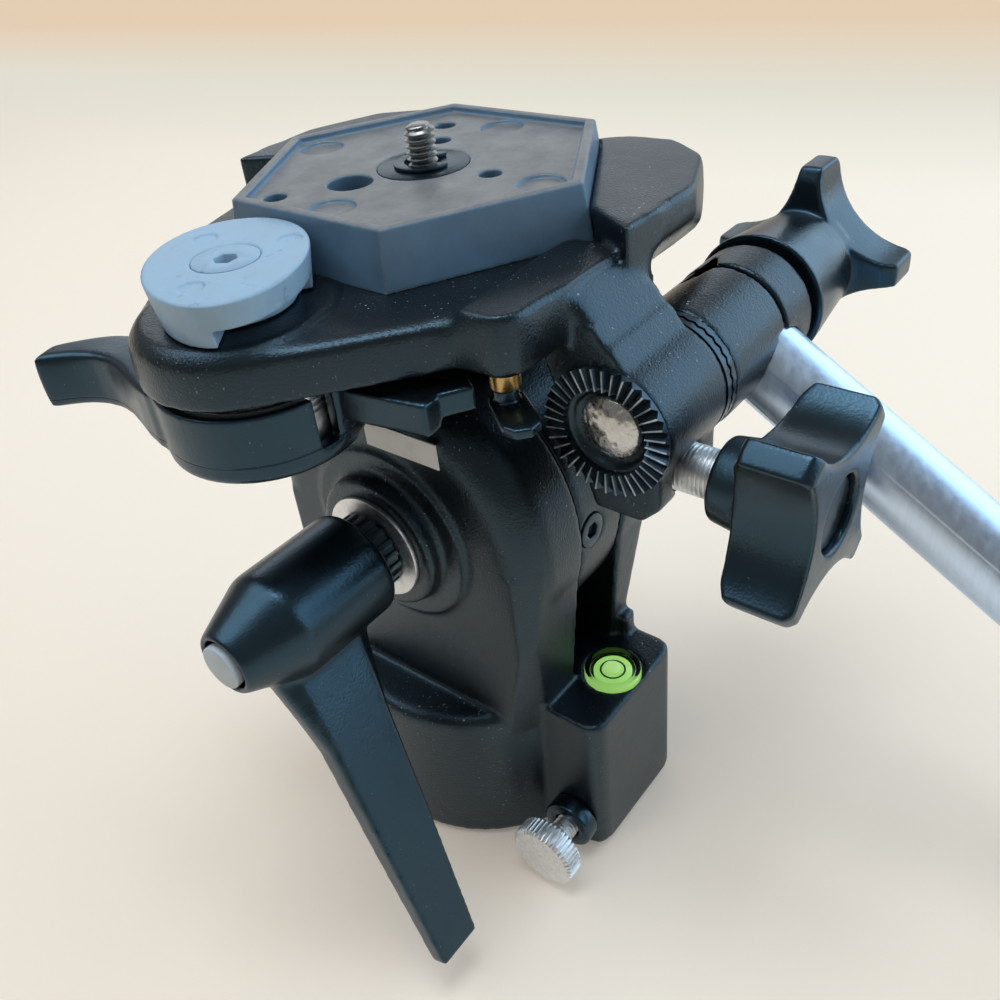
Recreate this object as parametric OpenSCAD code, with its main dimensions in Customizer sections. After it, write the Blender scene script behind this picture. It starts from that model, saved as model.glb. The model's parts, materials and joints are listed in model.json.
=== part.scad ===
// Fluid video head: a pan base, a damped tilt drum that carries a hexagonal quick-release platform,
// a ratchet locking lever, two wing knobs and a tubular pan handle.
// Millimetres. +Z is up, +Y looks to the lens and +X is the operator's right.
// The origin is the middle of the base's underside.

/* [Clearances] */
// Radial clearance of a shaft that turns in its bush
run = 0.04; // [0.02:0.01:0.08]
// Radial clearance of a piece pressed or screwed into its seat
seat = 0.03; // [0.01:0.01:0.06]
// Gap between faces that move past each other
gap = 0.4; // [0.3:0.05:0.5]

/* [Pan base] */
// Radius of the pan base
base_r = 36; // [35:0.5:38]
// Height of the pan base up to its shelf
base_h = 43; // [42:0.5:44]
// Rounding of the shelf's edge
shelf_round = 3; // [2:0.5:4]
// Height of the skirt's lower edge
skirt_z = 1.2; // [0.6:0.1:2]
// Wall of the skirt around the tripod plate
skirt_wall = 2.2; // [1.8:0.1:2.6]
// Thickness of the tripod plate
plate_h = 3.6; // [3.2:0.1:4]
// Width of the ledge that the retaining ring sits inside
ledge_w = 2.3; // [1.5:0.1:2.6]
// Thickness of the ring that retains the spindle
retainer_h = 2.6; // [2.2:0.1:3]
// Radius of the spindle's neck at the tripod plate
neck_r = 14; // [13.5:0.5:15]
// Radius of the spindle's flange
flange_r = 24; // [23:0.5:25]
// Thickness of the spindle's flange
flange_h = 6; // [5.5:0.5:7]
// Radius of the pan shaft
pan_shaft_r = 13; // [12:0.5:14]
// Length of the pan shaft above its flange
pan_shaft_h = 23; // [18:1:24]
// Wall of the pan bush
pan_bush_wall = 3; // [2:0.5:4]
// Radius of the thread insert
insert_r = 8; // [7:0.5:8]
// Height of the thread insert
insert_h = 12; // [10:0.5:14]
// Radius of the bore for the tripod's screw
tripod_bore_r = 4; // [3:0.1:4.4]

/* [Rear block] */
// Width of the rear block
block_w = 35; // [33:1:38]
// How far the rear block stands out behind the pan base
block_past = 12; // [11:0.5:13]
// Height of the rear block
block_h = 44.3; // [44:0.1:46]
// Rounding of the block's upright edges
block_round = 4; // [2:0.5:6]
// Radius of the bullseye level
level_r = 6.9; // [6:0.1:7.5]
// Depth that the level is let into the block
level_depth = 6.5; // [5:0.5:9]
// Height of the level above the block
level_rise = 1.2; // [0.8:0.1:2]
// Radius of the pan lock screw
pan_screw_r = 3; // [2.5:0.1:3.5]
// Radius of the pan lock screw's head
pan_head_r = 8.5; // [7:0.5:9]
// Thickness of the pan lock screw's head
pan_head_h = 5.5; // [4:0.5:7]
// Distance from the boss to the pan lock screw's head
pan_neck_len = 5.5; // [3:0.5:8]
// Radius of the boss around the pan lock screw
pan_boss_r = 6.5; // [5:0.5:7]
// Length of that boss
pan_boss_len = 4.5; // [3:0.5:6]
// Radius of the pan friction shoe
shoe_r = 2.5; // [2:0.1:2.8]

/* [Cheeks] */
// Height of the tilt axis
tilt_z = 88; // [87:0.5:90]
// Radius of the cheeks about the tilt axis
cheek_r = 38.5; // [38:0.5:40]
// Distance from the pan axis to the near cheek's face
near_face = 24; // [23:0.5:26]
// Distance from the pan axis to the far cheek's face
far_face = 27; // [26:0.5:30]
// Rounding of the near cheek
near_round = 9; // [6:0.5:11]
// Rounding of the far cheek
far_round = 7; // [5:0.5:9]
// Half width of the cheeks' foot
foot_half = 33; // [30:0.5:34]
// Radius of the wide collar on the near cheek
collar_r = 21.5; // [20:0.5:24]
// Height of the wide collar
collar_h = 1.2; // [0.8:0.1:2]
// Radius of the hub on that collar
hub_r = 16; // [14:0.5:18]
// Height of that hub
hub_h = 4; // [3:0.5:6]
// Radius of the washer under the locking lever
washer_r = 12.5; // [11:0.5:13.5]
// Thickness of that washer
washer_h = 1.2; // [0.8:0.1:1.6]
// Radius of the far side's cover
cover_r = 20; // [18:0.5:24]
// Thickness of the far side's cover
cover_h = 2; // [2:0.2:3]
// Length of the blank label
label_w = 20; // [14:1:22]
// Height of the blank label
label_h = 6; // [4:0.5:7]

/* [Tilt drum] */
// Near face of the tilt drum, measured along X
drum_x = -4.8; // [-5.5:0.1:-4.5]
// Width of the tilt drum
drum_w = 15.6; // [15:0.1:17]
// How far the drum lies below the cheeks' round edge
drum_inset = 0.4; // [0.2:0.1:1]
// Room under the drum
slot_room = 5.6; // [5:0.1:6.5]
// Radius of the tilt shaft
tilt_shaft_r = 8; // [7:0.5:8.5]
// Wall of the tilt bushes
tilt_bush_wall = 2.5; // [2:0.1:3]
// Radius of the damper cartridge
damper_r = 25.7; // [22:0.1:27]
// Width of the damper cartridge
damper_w = 7.6; // [5:0.1:9]
// Height of the platform's underside above the tilt axis
riser_h = 50.5; // [50:0.5:53]

/* [Platform] */
// Thickness of the deck
deck_h = 9.5; // [9:0.5:11]
// Radius of the deck's round end
lobe_r = 20.7; // [20:0.1:22]
// Place of the cam's axis along X
cam_x = -41.8; // [-43:0.1:-41.8]
// Place of the hexagonal plate's centre along X
plate_x = 11.5; // [11.5:0.1:12.5]
// Place of the hexagonal plate's centre along Y
plate_y = 8.7; // [8:0.1:9.5]
// Height of the raised pad under the cam
pad_h = 1.3; // [1:0.1:1.6]
// Height of the jaws above the deck
jaw_h = 7; // [5:0.5:9]
// Radius of the safety catch's pin
catch_r = 2.9; // [2.6:0.1:3.4]
// Travel of the safety catch
catch_travel = 3; // [2:0.5:4]

/* [Quick release] */
// Circumradius of the hexagonal plate at its foot
hex_r = 42; // [41:0.5:42]
// Circumradius of the hexagonal plate at its rim
hex_top_r = 40; // [39:0.5:40.5]
// Height of the hexagonal plate
hex_h = 11.5; // [11:0.5:13]
// Depth of the plate's recessed top
hex_sink = 1.5; // [1:0.1:2]
// Width of the plate's rim
hex_rim = 2.6; // [2:0.1:3.5]
// Radius of the camera screw
camera_r = 3.175; // [3.175, 4.7625]
// Length of the camera screw above the plate's recessed top
camera_reach = 10.5; // [5:0.5:12]
// Radius of the camera screw's head
camera_head_r = 8.5; // [7:0.5:9]
// Radius of the ring around the camera screw
plate_ring_r = 9.75; // [8:0.25:11]
// Radius of the cam's shaft
cam_shaft_r = 6; // [5:0.5:6]
// Half length of the cam
cam_long = 20.1; // [19:0.1:20.1]
// Half width of the cam
cam_short = 14.9; // [14:0.1:14.9]
// Height of the cam
cam_h = 8.4; // [8:0.2:9]
// Radius of the lever's cup
cup_r = 19.5; // [18:0.5:20]
// Height of the lever's cup
cup_h = 14.3; // [13:0.1:15]
// Wall of the lever's cup
cup_wall = 3; // [2.5:0.5:4]
// Reach of the lever's tip from the cam's axis
lever_reach = 50.8; // [46:0.2:56]
// Reach of the lever's lug from the cam's axis
lug_reach = 38.3; // [36:0.1:39]
// Height of the lever's lug
lug_h = 6.9; // [6:0.1:8]
// Height of the finger on the end of the lug
finger_h = 4.9; // [4:0.1:5]

/* [Tilt lock] */
// Radius of the ribbed insert
insert_rib_r = 9; // [8.5:0.1:9.5]
// Length of the insert that shows below the lever
insert_show = 5.2; // [5.2:0.2:7]
// Length of the insert inside the lever
insert_in = 14; // [12:0.5:15]
// Radius of the lock's stud
lock_stud_r = 5; // [4:0.5:5]
// Radius of the lever's hub
lever_hub_r = 12.3; // [12:0.1:13]
// Length of the lever's round hub
lever_hub_len = 24; // [24:0.5:27]
// Length of the lever's conical end
lever_cone_len = 13; // [12:0.5:15]
// Radius of the lever's small end
lever_end_r = 6.8; // [6.6:0.1:8]
// Length of the lever's arm from the tilt axis
lever_len = 86; // [70:1:87]
// Angle of the lever's arm below the horizontal
lever_angle = 64; // [50:1:80]
// Travel of the lever when it is pulled off its ribs
lever_pull = 5; // [3:0.5:5]

/* [Knobs] */
// Radius of the knobs' wings
wing_r = 22; // [20:0.5:23]
// Length of the drag knob's wings
drag_wing_len = 15.5; // [14:0.5:18]
// Length of the star knob's wings
star_wing_len = 13; // [12:0.5:16]
// Radius of the drag knob's stud
drag_stud_r = 5; // [4:0.5:5]
// Height of the drag knob's axis above the tilt axis
drag_rise = 24; // [23:0.5:25]
// Length of stud that shows before the drag knob
drag_show = 7.5; // [5:0.5:10]
// Length of the drag knob's collar
drag_collar_len = 7; // [5:0.5:9]
// Length of the star knob's collar
star_collar_len = 21.5; // [16:0.5:22]

/* [Handle] */
// Place of the handle's joint along Y
joint_y = -49.6; // [-51:0.1:-49]
// Height of the handle's joint above the tilt axis
joint_rise = 34.8; // [34:0.1:36]
// Radius of the joint's toothed hub
joint_r = 13.2; // [12.5:0.1:14]
// Half width of the joint's bracket without its teeth
bracket_half = 10.9; // [10:0.1:11.5]
// Number of teeth on each face of the joint
tooth_count = 36; // [24:1:40]
// Height of the teeth
tooth_h = 1; // [0.6:0.1:1.2]
// Radius of the clamp's bolt
bolt_r = 4; // [3:0.5:4.5]
// Distance of the handle's tube from the pan axis
tube_x = 36; // [34:0.5:38]
// Radius of the handle's tube
tube_r = 9; // [8:0.5:10]
// Wall of the handle's tube
tube_wall = 1.5; // [1:0.1:2]
// Length of the handle's tube from the joint
tube_len = 185; // [160:1:195]
// Angle of the handle below the horizontal
handle_angle = 32.1; // [20:0.1:35]
// Length of the grip
grip_len = 90; // [70:1:100]
// Wall of the grip
grip_wall = 3.5; // [2:0.5:4]

/* [Hidden] */
$fn = 96;

// Colours of the finishes
paint = "#1c1d20";
plastic = "#141518";
steel = "#b9bcc0";
brass_tone = "#b08d4a";

// How far a cut runs past the face that it opens
cut = 1;

// Levels of the pan base
plate_r = base_r - skirt_wall - gap;
recess_r = plate_r + gap;
retainer_z = plate_h + gap;
retainer_r = recess_r - ledge_w;
flange_z = retainer_z + retainer_h + gap;
shaft_z = flange_z + flange_h;
pocket_z = shaft_z + gap;
shaft_top = shaft_z + pan_shaft_h;
pan_bush_r = pan_shaft_r + run + pan_bush_wall;
lock_z = flange_z + flange_h / 2;

// Small countersunk screws of the base, the retainer and the cover
screw_r = 1.5;
screw_head_r = 2.6;
screw_head_h = 1.5;
screw_sink = 0.2;
spindle_screw_len = 10;
retainer_screw_len = 9;
cover_screw_len = 8;
spindle_screw_pcd = insert_r + neck_r;
spindle_screw_turn = 30;
retainer_screw_pcd = retainer_r + flange_r + gap;
retainer_screw_turn = 90;
cover_screw_pcd = 1.6 * cover_r;
cover_screw_turn = 30;

// Rear block
block_reach = base_r + block_past;
block_root = 20;
level_margin = 0.8;
level_pos = [1.5, -(block_reach - level_r - level_margin)];
level_wall = 1.2;
pan_screw_y = -(block_reach - 7.5);
boss_x = -block_w / 2 - pan_boss_len;
head_x = boss_x - pan_neck_len;
ledge_size = [4.5, 8, 6];

// Cheeks and their bores
foot_z = base_h - 6;
foot_inset = 0.5;
foot_flare = 9;
foot_corner = 0.6;
drum_r = cheek_r - drum_inset;
drum_end = drum_x + drum_w;
slot_z = tilt_z - drum_r - slot_room;
tilt_bush_r = tilt_shaft_r + run + tilt_bush_wall;
near_bush_x = -near_face + 1.5;
far_bush_x = far_face - 1;
washer_x = -near_face - collar_h - hub_h;
insert_x = washer_x - washer_h - gap;
label_y = -8;
label_gap = 1.5;
label_z = collar_r + label_gap + label_h / 2;
label_t = 0.3;
drum_screw_r = 2.5;
drum_screw_head_r = 4;
drum_screw_sink = 3;
drum_screw_x = drum_x + (drum_w - damper_w) / 2;

// Platform
deck_z = tilt_z + riser_h;
deck_top = deck_z + deck_h;
cam_pos = [cam_x, plate_y];
edge_angle = 39.6;
edge_start = cam_pos - lobe_r * [sin(edge_angle), cos(edge_angle)];
edge_end_x = -24;
edge_end = [edge_end_x, edge_start[1] - (edge_end_x - edge_start[0]) * tan(edge_angle)];
// Rear half of the deck's outline, from the round end to the far side, and the rear jaw's outline
deck_rear = [edge_start, edge_end, [5, -42], [28.3, -46.2], [46.5, -38.1], [53.6, -27.5], [50, -14]];
jaw_outline = [[46, -8], [52.7, -17.6], [53.6, -27.5], [46.5, -38.1], [28.3, -46.2], [5, -44.5], [14, -28]];
// Where the chamfers under the jaws leave the deck's underside, and where they start along X
chamfer_y = -36;
chamfer_x = bracket_half + 3;
riser_rear = 22;
riser_front = 30;
riser_taper = 7;
riser_root = 22;
pad_r = 18.5;
lobe_top = 150;
catch_pos = [-20.5, -34.5];
catch_boss_r = 7.5;
lobe_len = 28.5;
lobe_front = 4.5;
lobe_bevel = 4;
lobe_outline = [[-catch_boss_r, lobe_front], [lobe_len, lobe_front], [lobe_len, -catch_boss_r],
    [lobe_bevel - catch_boss_r, -catch_boss_r], [-catch_boss_r, lobe_bevel - catch_boss_r]];
catch_boss_tip_r = catch_r + 1.2;
catch_boss_h = 9.5;
catch_boss_z = deck_z - 2;
catch_in = 4.5;
catch_bore_h = catch_in + catch_travel + 3.5;
catch_show = catch_travel + 3;
pin_show = 3.4;
stem_r = catch_r - 0.5;
tab_h = 2;
tab_half = 3.8;
tab_end = catch_pos + [-4.8, -6.6];
deck_screw_r = 2;
deck_screw_head_r = 3.4;
deck_screw_head_h = 4;
deck_screw_len = 14;
deck_screw_aside = 3.5;
deck_screw_rear = 14;
deck_screw_front = 22;
deck_screw_xs = [drum_x + drum_w / 2 - deck_screw_aside, drum_x + drum_w / 2 + deck_screw_aside];
deck_screw_ys = [-deck_screw_rear, deck_screw_front];
deck_socket_r = 1.7;
deck_socket_h = 2;

// Handle's joint, from the bracket out to the star knob
joint_z = tilt_z + joint_rise;
rosette_t = 0.6;
rosette_bore_r = 8.8;
rosette_x = bracket_half + rosette_t + tooth_h;
tooth_gap = 0.3;
clamp_x = rosette_x + tooth_gap + tooth_h + rosette_t;
split_gap = 0.6;
clamp_end = tube_x + tube_r + 2.8;
clamp_washer_x = clamp_end + tooth_gap;
clamp_washer_h = 1.9;
clamp_washer_r = 11;
star_x = clamp_washer_x + clamp_washer_h;
bolt_in_star = 8;
bolt_head_r = 6.5;
bolt_head_h = 3.1;
bolt_sink = 1.8;
bolt_well_r = rosette_bore_r - 0.8;
// The bolt's dome falls by two thirds of the head at its edge
dome_fall = 2 * bolt_head_h / 3;
dome_r = (bolt_head_r * bolt_head_r + dome_fall * dome_fall) / (2 * dome_fall);
drag_z = tilt_z + drag_rise;
bracket_rear = -60.5;
bracket_low = 16;
bracket_front = 15.6;
bracket_back = 0.9;
bracket_step = 2;
bracket_bevel = 4;
bracket_heel = 3.6;
bracket_arch = 9.6;
gusset_front = 13.6;
gusset_top = 6.6;
drag_stud_in = 13;
drag_knob_y = bracket_rear - drag_show;
tube_back = 11;
grip_start = tube_len - grip_len;
grip_cap_h = 3;

// Quick release
hex_top = deck_top + hex_h;
hex_floor = hex_top - hex_sink;
head_z = deck_top + 0.6;
camera_head_h = 4;
camera_neck_r = camera_r - 0.5;
plate_ring_h = 1.3;
plate_hole_r = 4.75;
plate_hole = [-14.7, 7.1];
pocket_r = 4.8;
pocket_h = 0.8;
pockets = [[27, 0], [-27, 0], [0, 30.4], [0, -30.4]];
small_hole_r = 2.4;
small_holes = [[-27.4, 15.7], [0.7, -17.2], [14.1, 7.4], [23.4, 13.8]];
cam_z = deck_top + pad_h + 0.3;
cam_turn = 45;
cam_taper = 0.92;
notch_h = 3.4;
notch_r = 11.2;
notch_from = -140;
notch_to = -40;
cam_screw_r = 6.2;
cam_screw_h = 3.5;
cam_screw_z = cam_z + cam_h - cam_screw_h;
cam_thread_r = 3;
cam_thread_len = 8;
cam_socket_r = 2.3;
cam_socket_h = 2.2;
lever_gap = 2.2;
cup_z = deck_z - lever_gap - cup_h;
lever_z = cup_z + 2;
lever_h = 12;
lever_tip_angle = 110;
lever_root_half = 8;
lever_tip_half = 4;
lever_bend = 7;
lug_angle = -76;
lug_top = catch_boss_z - gap;
lug_root = cup_r / 2;
lug_side = 4.5;
finger_root = [lug_reach + 0.8, -0.4];
// The lug's outline from its ridge back to the cup, and the outline of the finger beyond the ridge
lug_outline = [[lug_root, -2.2], [lug_reach, -lug_side], finger_root, [34, 5], [lug_root, 5]];
finger_outline = [[lug_reach - 8, -2], finger_root, [44, 4.1], [41.4, 7.2], [lug_reach - 8, 5]];
cup_slot_angle = -93;
cup_slot_w = 4.4;
cup_slot_z = cup_z + cup_wall + 1;
washer_grooves = 5;
groove_pitch = 1.3;
groove_r = 0.4;

// Tilt lock
rib_count = 20;
rib_depth = 0.6;
lever_x = insert_x - insert_show;
insert_end = lever_x - insert_in;
shoulder_x = insert_end - gap;
shoulder_h = 3;
lever_bore_r = insert_rib_r + gap;
lever_end_x = lever_x - lever_hub_len - lever_cone_len;
cap_r = lever_end_r - 1.2;
cap_h = 2;
cap_proud = 0.6;
lock_spring_len = lever_pull + 2;
lock_head_x = shoulder_x - shoulder_h - lock_spring_len;
lock_head_h = 2;
lock_head_r = 4.6;
lock_screw_r = 2.5;
spring_wall = 1;
arm_root = 6;
arm_root_w = 19;
arm_root_t = 7;
arm_root_x = lever_x - 17.5;
arm_tip_w = 11;
arm_tip_t = 4.5;
arm_lean = 8.5;
flare_root = 4;
flare_root_w = 27;
flare_reach = 30;
flare_tip_w = 16;
flare_t = 5;
flare_lean = 2.6;

// Knobs
knob_cap_r = 7.5;
knob_cap_h = 1.5;
drag_cap_z = drag_collar_len + drag_wing_len - 2 * knob_cap_h;
star_cap_z = star_collar_len + star_wing_len - 2 * knob_cap_h;
drag_wing_angle = 38;
star_collar_r = 15;
star_collar_tip_r = 12.5;
drag_collar_r = 8.4;
hollow_r = 20;
hollow_gap = 12;
flare_len = 2.5;
wing_edge = 1.5;

// Shared shapes

// Extrudes an outline drawn in Y and Z along X
module along_x(x0, length) translate([x0, 0, 0]) rotate([90, 0, 90]) linear_extrude(length) children();

// Round bar along X from x0 to x1
module rod_x(r, x0, x1) translate([x0, 0, 0]) rotate([0, 90, 0]) cylinder(r = r, h = x1 - x0);

// Round bar along Y from y0 to y1
module rod_y(r, y0, y1) translate([0, y0, 0]) rotate([-90, 0, 0]) cylinder(r = r, h = y1 - y0);

// Ring about Z
module ring(r, bore_r, z0, h) translate([0, 0, z0]) difference() {
    cylinder(r = r, h = h);
    translate([0, 0, -cut]) cylinder(r = bore_r, h = h + 2 * cut);
}

// Ring about X
module ring_x(r, bore_r, x0, x1) difference() {
    rod_x(r, x0, x1);
    rod_x(bore_r, x0 - cut, x1 + cut);
}

// Copies evenly spaced on a circle of the given diameter
module on_circle(count, diameter, start)
    for (i = [0 : count - 1]) rotate(start + i * 360 / count) translate([diameter / 2, 0, 0]) children();

// Half outline of a disc with a rounded upper edge
module rounded_top(r, z0, z1, round) {
    translate([0, z0]) square([r, z1 - round - z0]);
    translate([0, z0]) square([r - round, z1 - z0]);
    translate([r - round, z1 - round]) circle(round);
}

// Rectangle with round corners
module round_rect(x0, y0, x1, y1, round) {
    translate([x0 + round, y0]) square([x1 - x0 - 2 * round, y1 - y0]);
    translate([x0, y0 + round]) square([x1 - x0, y1 - y0 - 2 * round]);
    for (x = [x0 + round, x1 - round], y = [y0 + round, y1 - round]) translate([x, y]) circle(round);
}

// Countersunk screw that points up from its head, grown by a clearance
module csk_shape(length, grow) rotate_extrude() polygon([
    [0, 0], [screw_head_r + grow, 0], [screw_r + grow, screw_head_h],
    [screw_r + grow, length + grow], [0, length + grow]]);

// Countersunk screw with a hexagon socket
module csk_screw(length) difference() {
    csk_shape(length, 0);
    translate([0, 0, -cut]) cylinder(r = 1.1, h = cut + 0.9, $fn = 6);
}

// Hole for that screw, open below its head
module csk_hole(length) {
    csk_shape(length, seat);
    translate([0, 0, -cut]) cylinder(r = screw_head_r + seat, h = cut + 0.01);
}

// Six-sided frustum with corners at 30 and 90 degrees from X and flat faces
module hex_frustum(r0, r1, h) intersection_for(a = [30, 90, 150]) rotate(a) along_x(-2 * r0, 4 * r0)
    polygon([[-r0 * cos(30), 0], [r0 * cos(30), 0], [r1 * cos(30), h], [-r1 * cos(30), h]]);

// Flat-topped radial teeth on a face that looks along +X
module face_teeth(start) {
    tooth_w = 0.85 * 2 * PI * rosette_bore_r / tooth_count;
    for (i = [0 : tooth_count - 1]) rotate([start + i * 360 / tooth_count, 0, 0])
        translate([0, 0, rosette_bore_r + 0.1]) linear_extrude(joint_r - rosette_bore_r - 0.2)
            polygon([[-0.2, -tooth_w / 2], [0, -tooth_w / 2], [tooth_h, -tooth_w / 5],
                     [tooth_h, tooth_w / 5], [0, tooth_w / 2], [-0.2, tooth_w / 2]]);
}

// Toothed ring whose back lies on x0
module rosette(x0, start) translate([x0, 0, 0]) {
    ring_x(joint_r, rosette_bore_r, 0, rosette_t);
    translate([rosette_t, 0, 0]) face_teeth(start);
}

// Four-winged knob along +Z: a tapered collar, then wings that flare out of it
module wing_knob(r0, r1, collar_len, wing_len) {
    end = collar_len + wing_len;
    rotate_extrude() polygon([[0, 0], [r0, 0], [r1, collar_len], [r1, collar_len + flare_len],
                              [0, collar_len + flare_len]]);
    intersection() {
        translate([0, 0, collar_len / 2]) linear_extrude(end - collar_len / 2) difference() {
            circle(wing_r);
            for (a = [45 : 90 : 315]) rotate(a) translate([hollow_r + hollow_gap, 0]) circle(hollow_r);
        }
        rotate_extrude() polygon([[0, collar_len / 2], [r1 - 1, collar_len / 2], [r1, collar_len],
            [wing_r - 2 * wing_edge, collar_len + flare_len - wing_edge], [wing_r, collar_len + flare_len],
            [wing_r, end - wing_edge], [wing_r - wing_edge, end], [0, end]]);
    }
}

module at_tilt() translate([0, 0, tilt_z]) children();
module at_joint() translate([0, joint_y, joint_z]) children();
module at_cam() translate([cam_pos[0], cam_pos[1], 0]) children();
module at_plate() translate([plate_x, plate_y, 0]) children();
module at_catch() translate([catch_pos[0], catch_pos[1], 0]) children();
module at_level() translate([level_pos[0], level_pos[1], 0]) children();
module at_pan_screw() translate([0, pan_screw_y, lock_z]) children();

// The handle's own direction becomes +Z, from the joint's axis outwards
module along_handle() translate([tube_x, joint_y, joint_z]) rotate([90 + handle_angle, 0, 0]) children();

// The drag knob's own direction becomes +Z, rearwards from the given place
module along_drag(y) translate([0, y, drag_z]) rotate([90, 0, 0]) children();

// Base that the tripod holds

module at_spindle_screws() on_circle(3, spindle_screw_pcd, spindle_screw_turn)
    translate([0, 0, screw_sink]) children();

module tripod_plate() color(paint) difference() {
    cylinder(r = plate_r, h = plate_h);
    translate([0, 0, -cut]) cylinder(r = insert_r + seat, h = plate_h + 2 * cut);
    at_spindle_screws() csk_hole(spindle_screw_len);
}

module thread_insert() color(steel) ring(insert_r, tripod_bore_r, 0, insert_h);

module pan_spindle() color(steel) difference() {
    rotate_extrude() polygon([[0, plate_h], [neck_r, plate_h], [neck_r, flange_z], [flange_r, flange_z],
        [flange_r, shaft_z], [pan_shaft_r, shaft_z], [pan_shaft_r, shaft_top], [0, shaft_top]]);
    translate([0, 0, plate_h - cut]) cylinder(r = insert_r + seat, h = insert_h + seat - plate_h + cut);
    at_spindle_screws() csk_hole(spindle_screw_len);
}

module spindle_screws() color(steel) at_spindle_screws() csk_screw(spindle_screw_len);

// Pan body

// Half outline of the cheeks: radius across, place along the tilt axis up
module cheek_profile() {
    core_r = cheek_r - max(near_round, far_round);
    translate([0, -near_face]) square([core_r, near_face + far_face]);
    translate([0, -near_face]) square([cheek_r - near_round, near_round]);
    translate([0, far_face - far_round]) square([cheek_r - far_round, far_round]);
    translate([0, -near_face + near_round]) square([cheek_r, near_face + far_face - near_round - far_round]);
    translate([cheek_r - near_round, -near_face + near_round]) circle(near_round);
    translate([cheek_r - far_round, far_face - far_round]) circle(far_round);
}

// Plan of the cheeks' feet, with the corners cut off
module cheek_plan() {
    near_cut = foot_corner * near_round;
    far_cut = foot_corner * far_round;
    polygon([[-near_face, near_cut - cheek_r], [near_cut - near_face, -cheek_r],
        [far_face - far_cut, -cheek_r], [far_face, far_cut - cheek_r],
        [far_face, cheek_r - far_cut], [far_face - far_cut, cheek_r],
        [near_cut - near_face, cheek_r], [-near_face, cheek_r - near_cut]]);
}

module cheeks() {
    at_tilt() rotate([0, 90, 0]) rotate_extrude() cheek_profile();
    intersection() {
        along_x(-near_face, near_face + far_face) polygon([
            [-foot_half, foot_z], [foot_half, foot_z],
            [cheek_r - foot_inset, tilt_z], [foot_inset - cheek_r, tilt_z]]);
        translate([0, 0, foot_z]) linear_extrude(tilt_z - foot_z) cheek_plan();
        translate([0, 0, foot_z]) cylinder(r1 = base_r, r2 = base_r + foot_flare, h = tilt_z - foot_z);
    }
}

module at_retainer_screws() on_circle(3, retainer_screw_pcd, retainer_screw_turn)
    translate([0, 0, retainer_z]) children();

module at_cover_screws() at_tilt() translate([far_face + cover_h, 0, 0]) rotate([0, -90, 0])
    on_circle(3, cover_screw_pcd, cover_screw_turn) children();

module housing_solid() {
    rotate_extrude() rounded_top(base_r, skirt_z, base_h, shelf_round);
    translate([0, 0, skirt_z]) linear_extrude(block_h - skirt_z)
        round_rect(-block_w / 2, -block_reach, block_w / 2, -block_root, block_round);
    translate([block_w / 2 - ledge_size[0], -foot_half - 4, block_h - cut])
        cube(ledge_size + [0, 0, cut]);
    cheeks();
    at_tilt() rod_x(collar_r, -near_face - collar_h, -near_face + cut);
    at_tilt() rod_x(hub_r, washer_x, -near_face + cut);
    translate([-near_face, label_y - label_w / 2, tilt_z + label_z - label_h / 2])
        cube([near_round / 2, label_w, label_h]);
}

module housing() color(paint) difference() {
    housing_solid();
    translate([0, 0, -cut]) cylinder(r = recess_r, h = retainer_z + cut);
    translate([0, 0, -cut]) cylinder(r = retainer_r + seat, h = retainer_z + retainer_h + seat + cut);
    translate([0, 0, retainer_z]) cylinder(r = flange_r + gap, h = pocket_z - retainer_z);
    translate([0, 0, retainer_z]) cylinder(r = pan_bush_r + seat, h = shaft_top + cut - retainer_z);
    at_retainer_screws() csk_hole(retainer_screw_len);
    translate([0, 0, lock_z]) rod_y(shoe_r + seat, pan_screw_y - shoe_r, -flange_r);
    at_pan_screw() rod_x(pan_screw_r + gap, -block_w / 2 - cut, 0);
    at_level() translate([0, 0, block_h - level_depth]) cylinder(r = level_r + seat, h = level_depth + cut);
    translate([drum_x - gap, -2 * cheek_r, slot_z]) cube([drum_w + 2 * gap, 4 * cheek_r, 3 * cheek_r]);
    at_tilt() {
        rod_x(tilt_bush_r + seat, near_bush_x, drum_x);
        rod_x(tilt_bush_r + seat, drum_end, far_face + cut);
        rod_x(lock_stud_r + gap, washer_x - cut, near_bush_x + cut);
    }
    at_cover_screws() csk_hole(cover_screw_len);
}

module pan_bush() color(brass_tone) ring(pan_bush_r, pan_shaft_r + run, pocket_z, shaft_top - pocket_z);

module pan_retainer() color(steel) difference() {
    ring(retainer_r, neck_r + gap, retainer_z, retainer_h);
    at_retainer_screws() csk_hole(retainer_screw_len);
}

module retainer_screws() color(steel)
    at_retainer_screws() csk_screw(retainer_screw_len);

module near_bush() color(brass_tone) at_tilt()
    ring_x(tilt_bush_r, tilt_shaft_r + run, near_bush_x, drum_x - gap);

module far_bush() color(brass_tone) at_tilt()
    ring_x(tilt_bush_r, tilt_shaft_r + run, drum_end + gap, far_bush_x);

module flange_washer() color(steel) at_tilt()
    ring_x(washer_r, lock_stud_r + gap, washer_x - washer_h, washer_x);

module side_cover() color(plastic) difference() {
    at_tilt() rod_x(cover_r, far_face, far_face + cover_h);
    at_cover_screws() csk_hole(cover_screw_len);
}

module cover_screws() color(steel) at_cover_screws() csk_screw(cover_screw_len);

module level_vial() color("#dfe8d8") at_level() difference() {
    rotate_extrude() rounded_top(level_r, block_h - level_depth, block_h + level_rise, 0.6);
    translate([0, 0, block_h - level_depth + level_wall])
        cylinder(r = level_r - level_wall, h = level_depth + level_rise - 2 * level_wall);
}

module level_fluid() color("#9fdc3c") at_level() translate([0, 0, block_h - level_depth + level_wall])
    cylinder(r = level_r - level_wall - seat, h = level_depth + level_rise - 2 * level_wall - seat);

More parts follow.
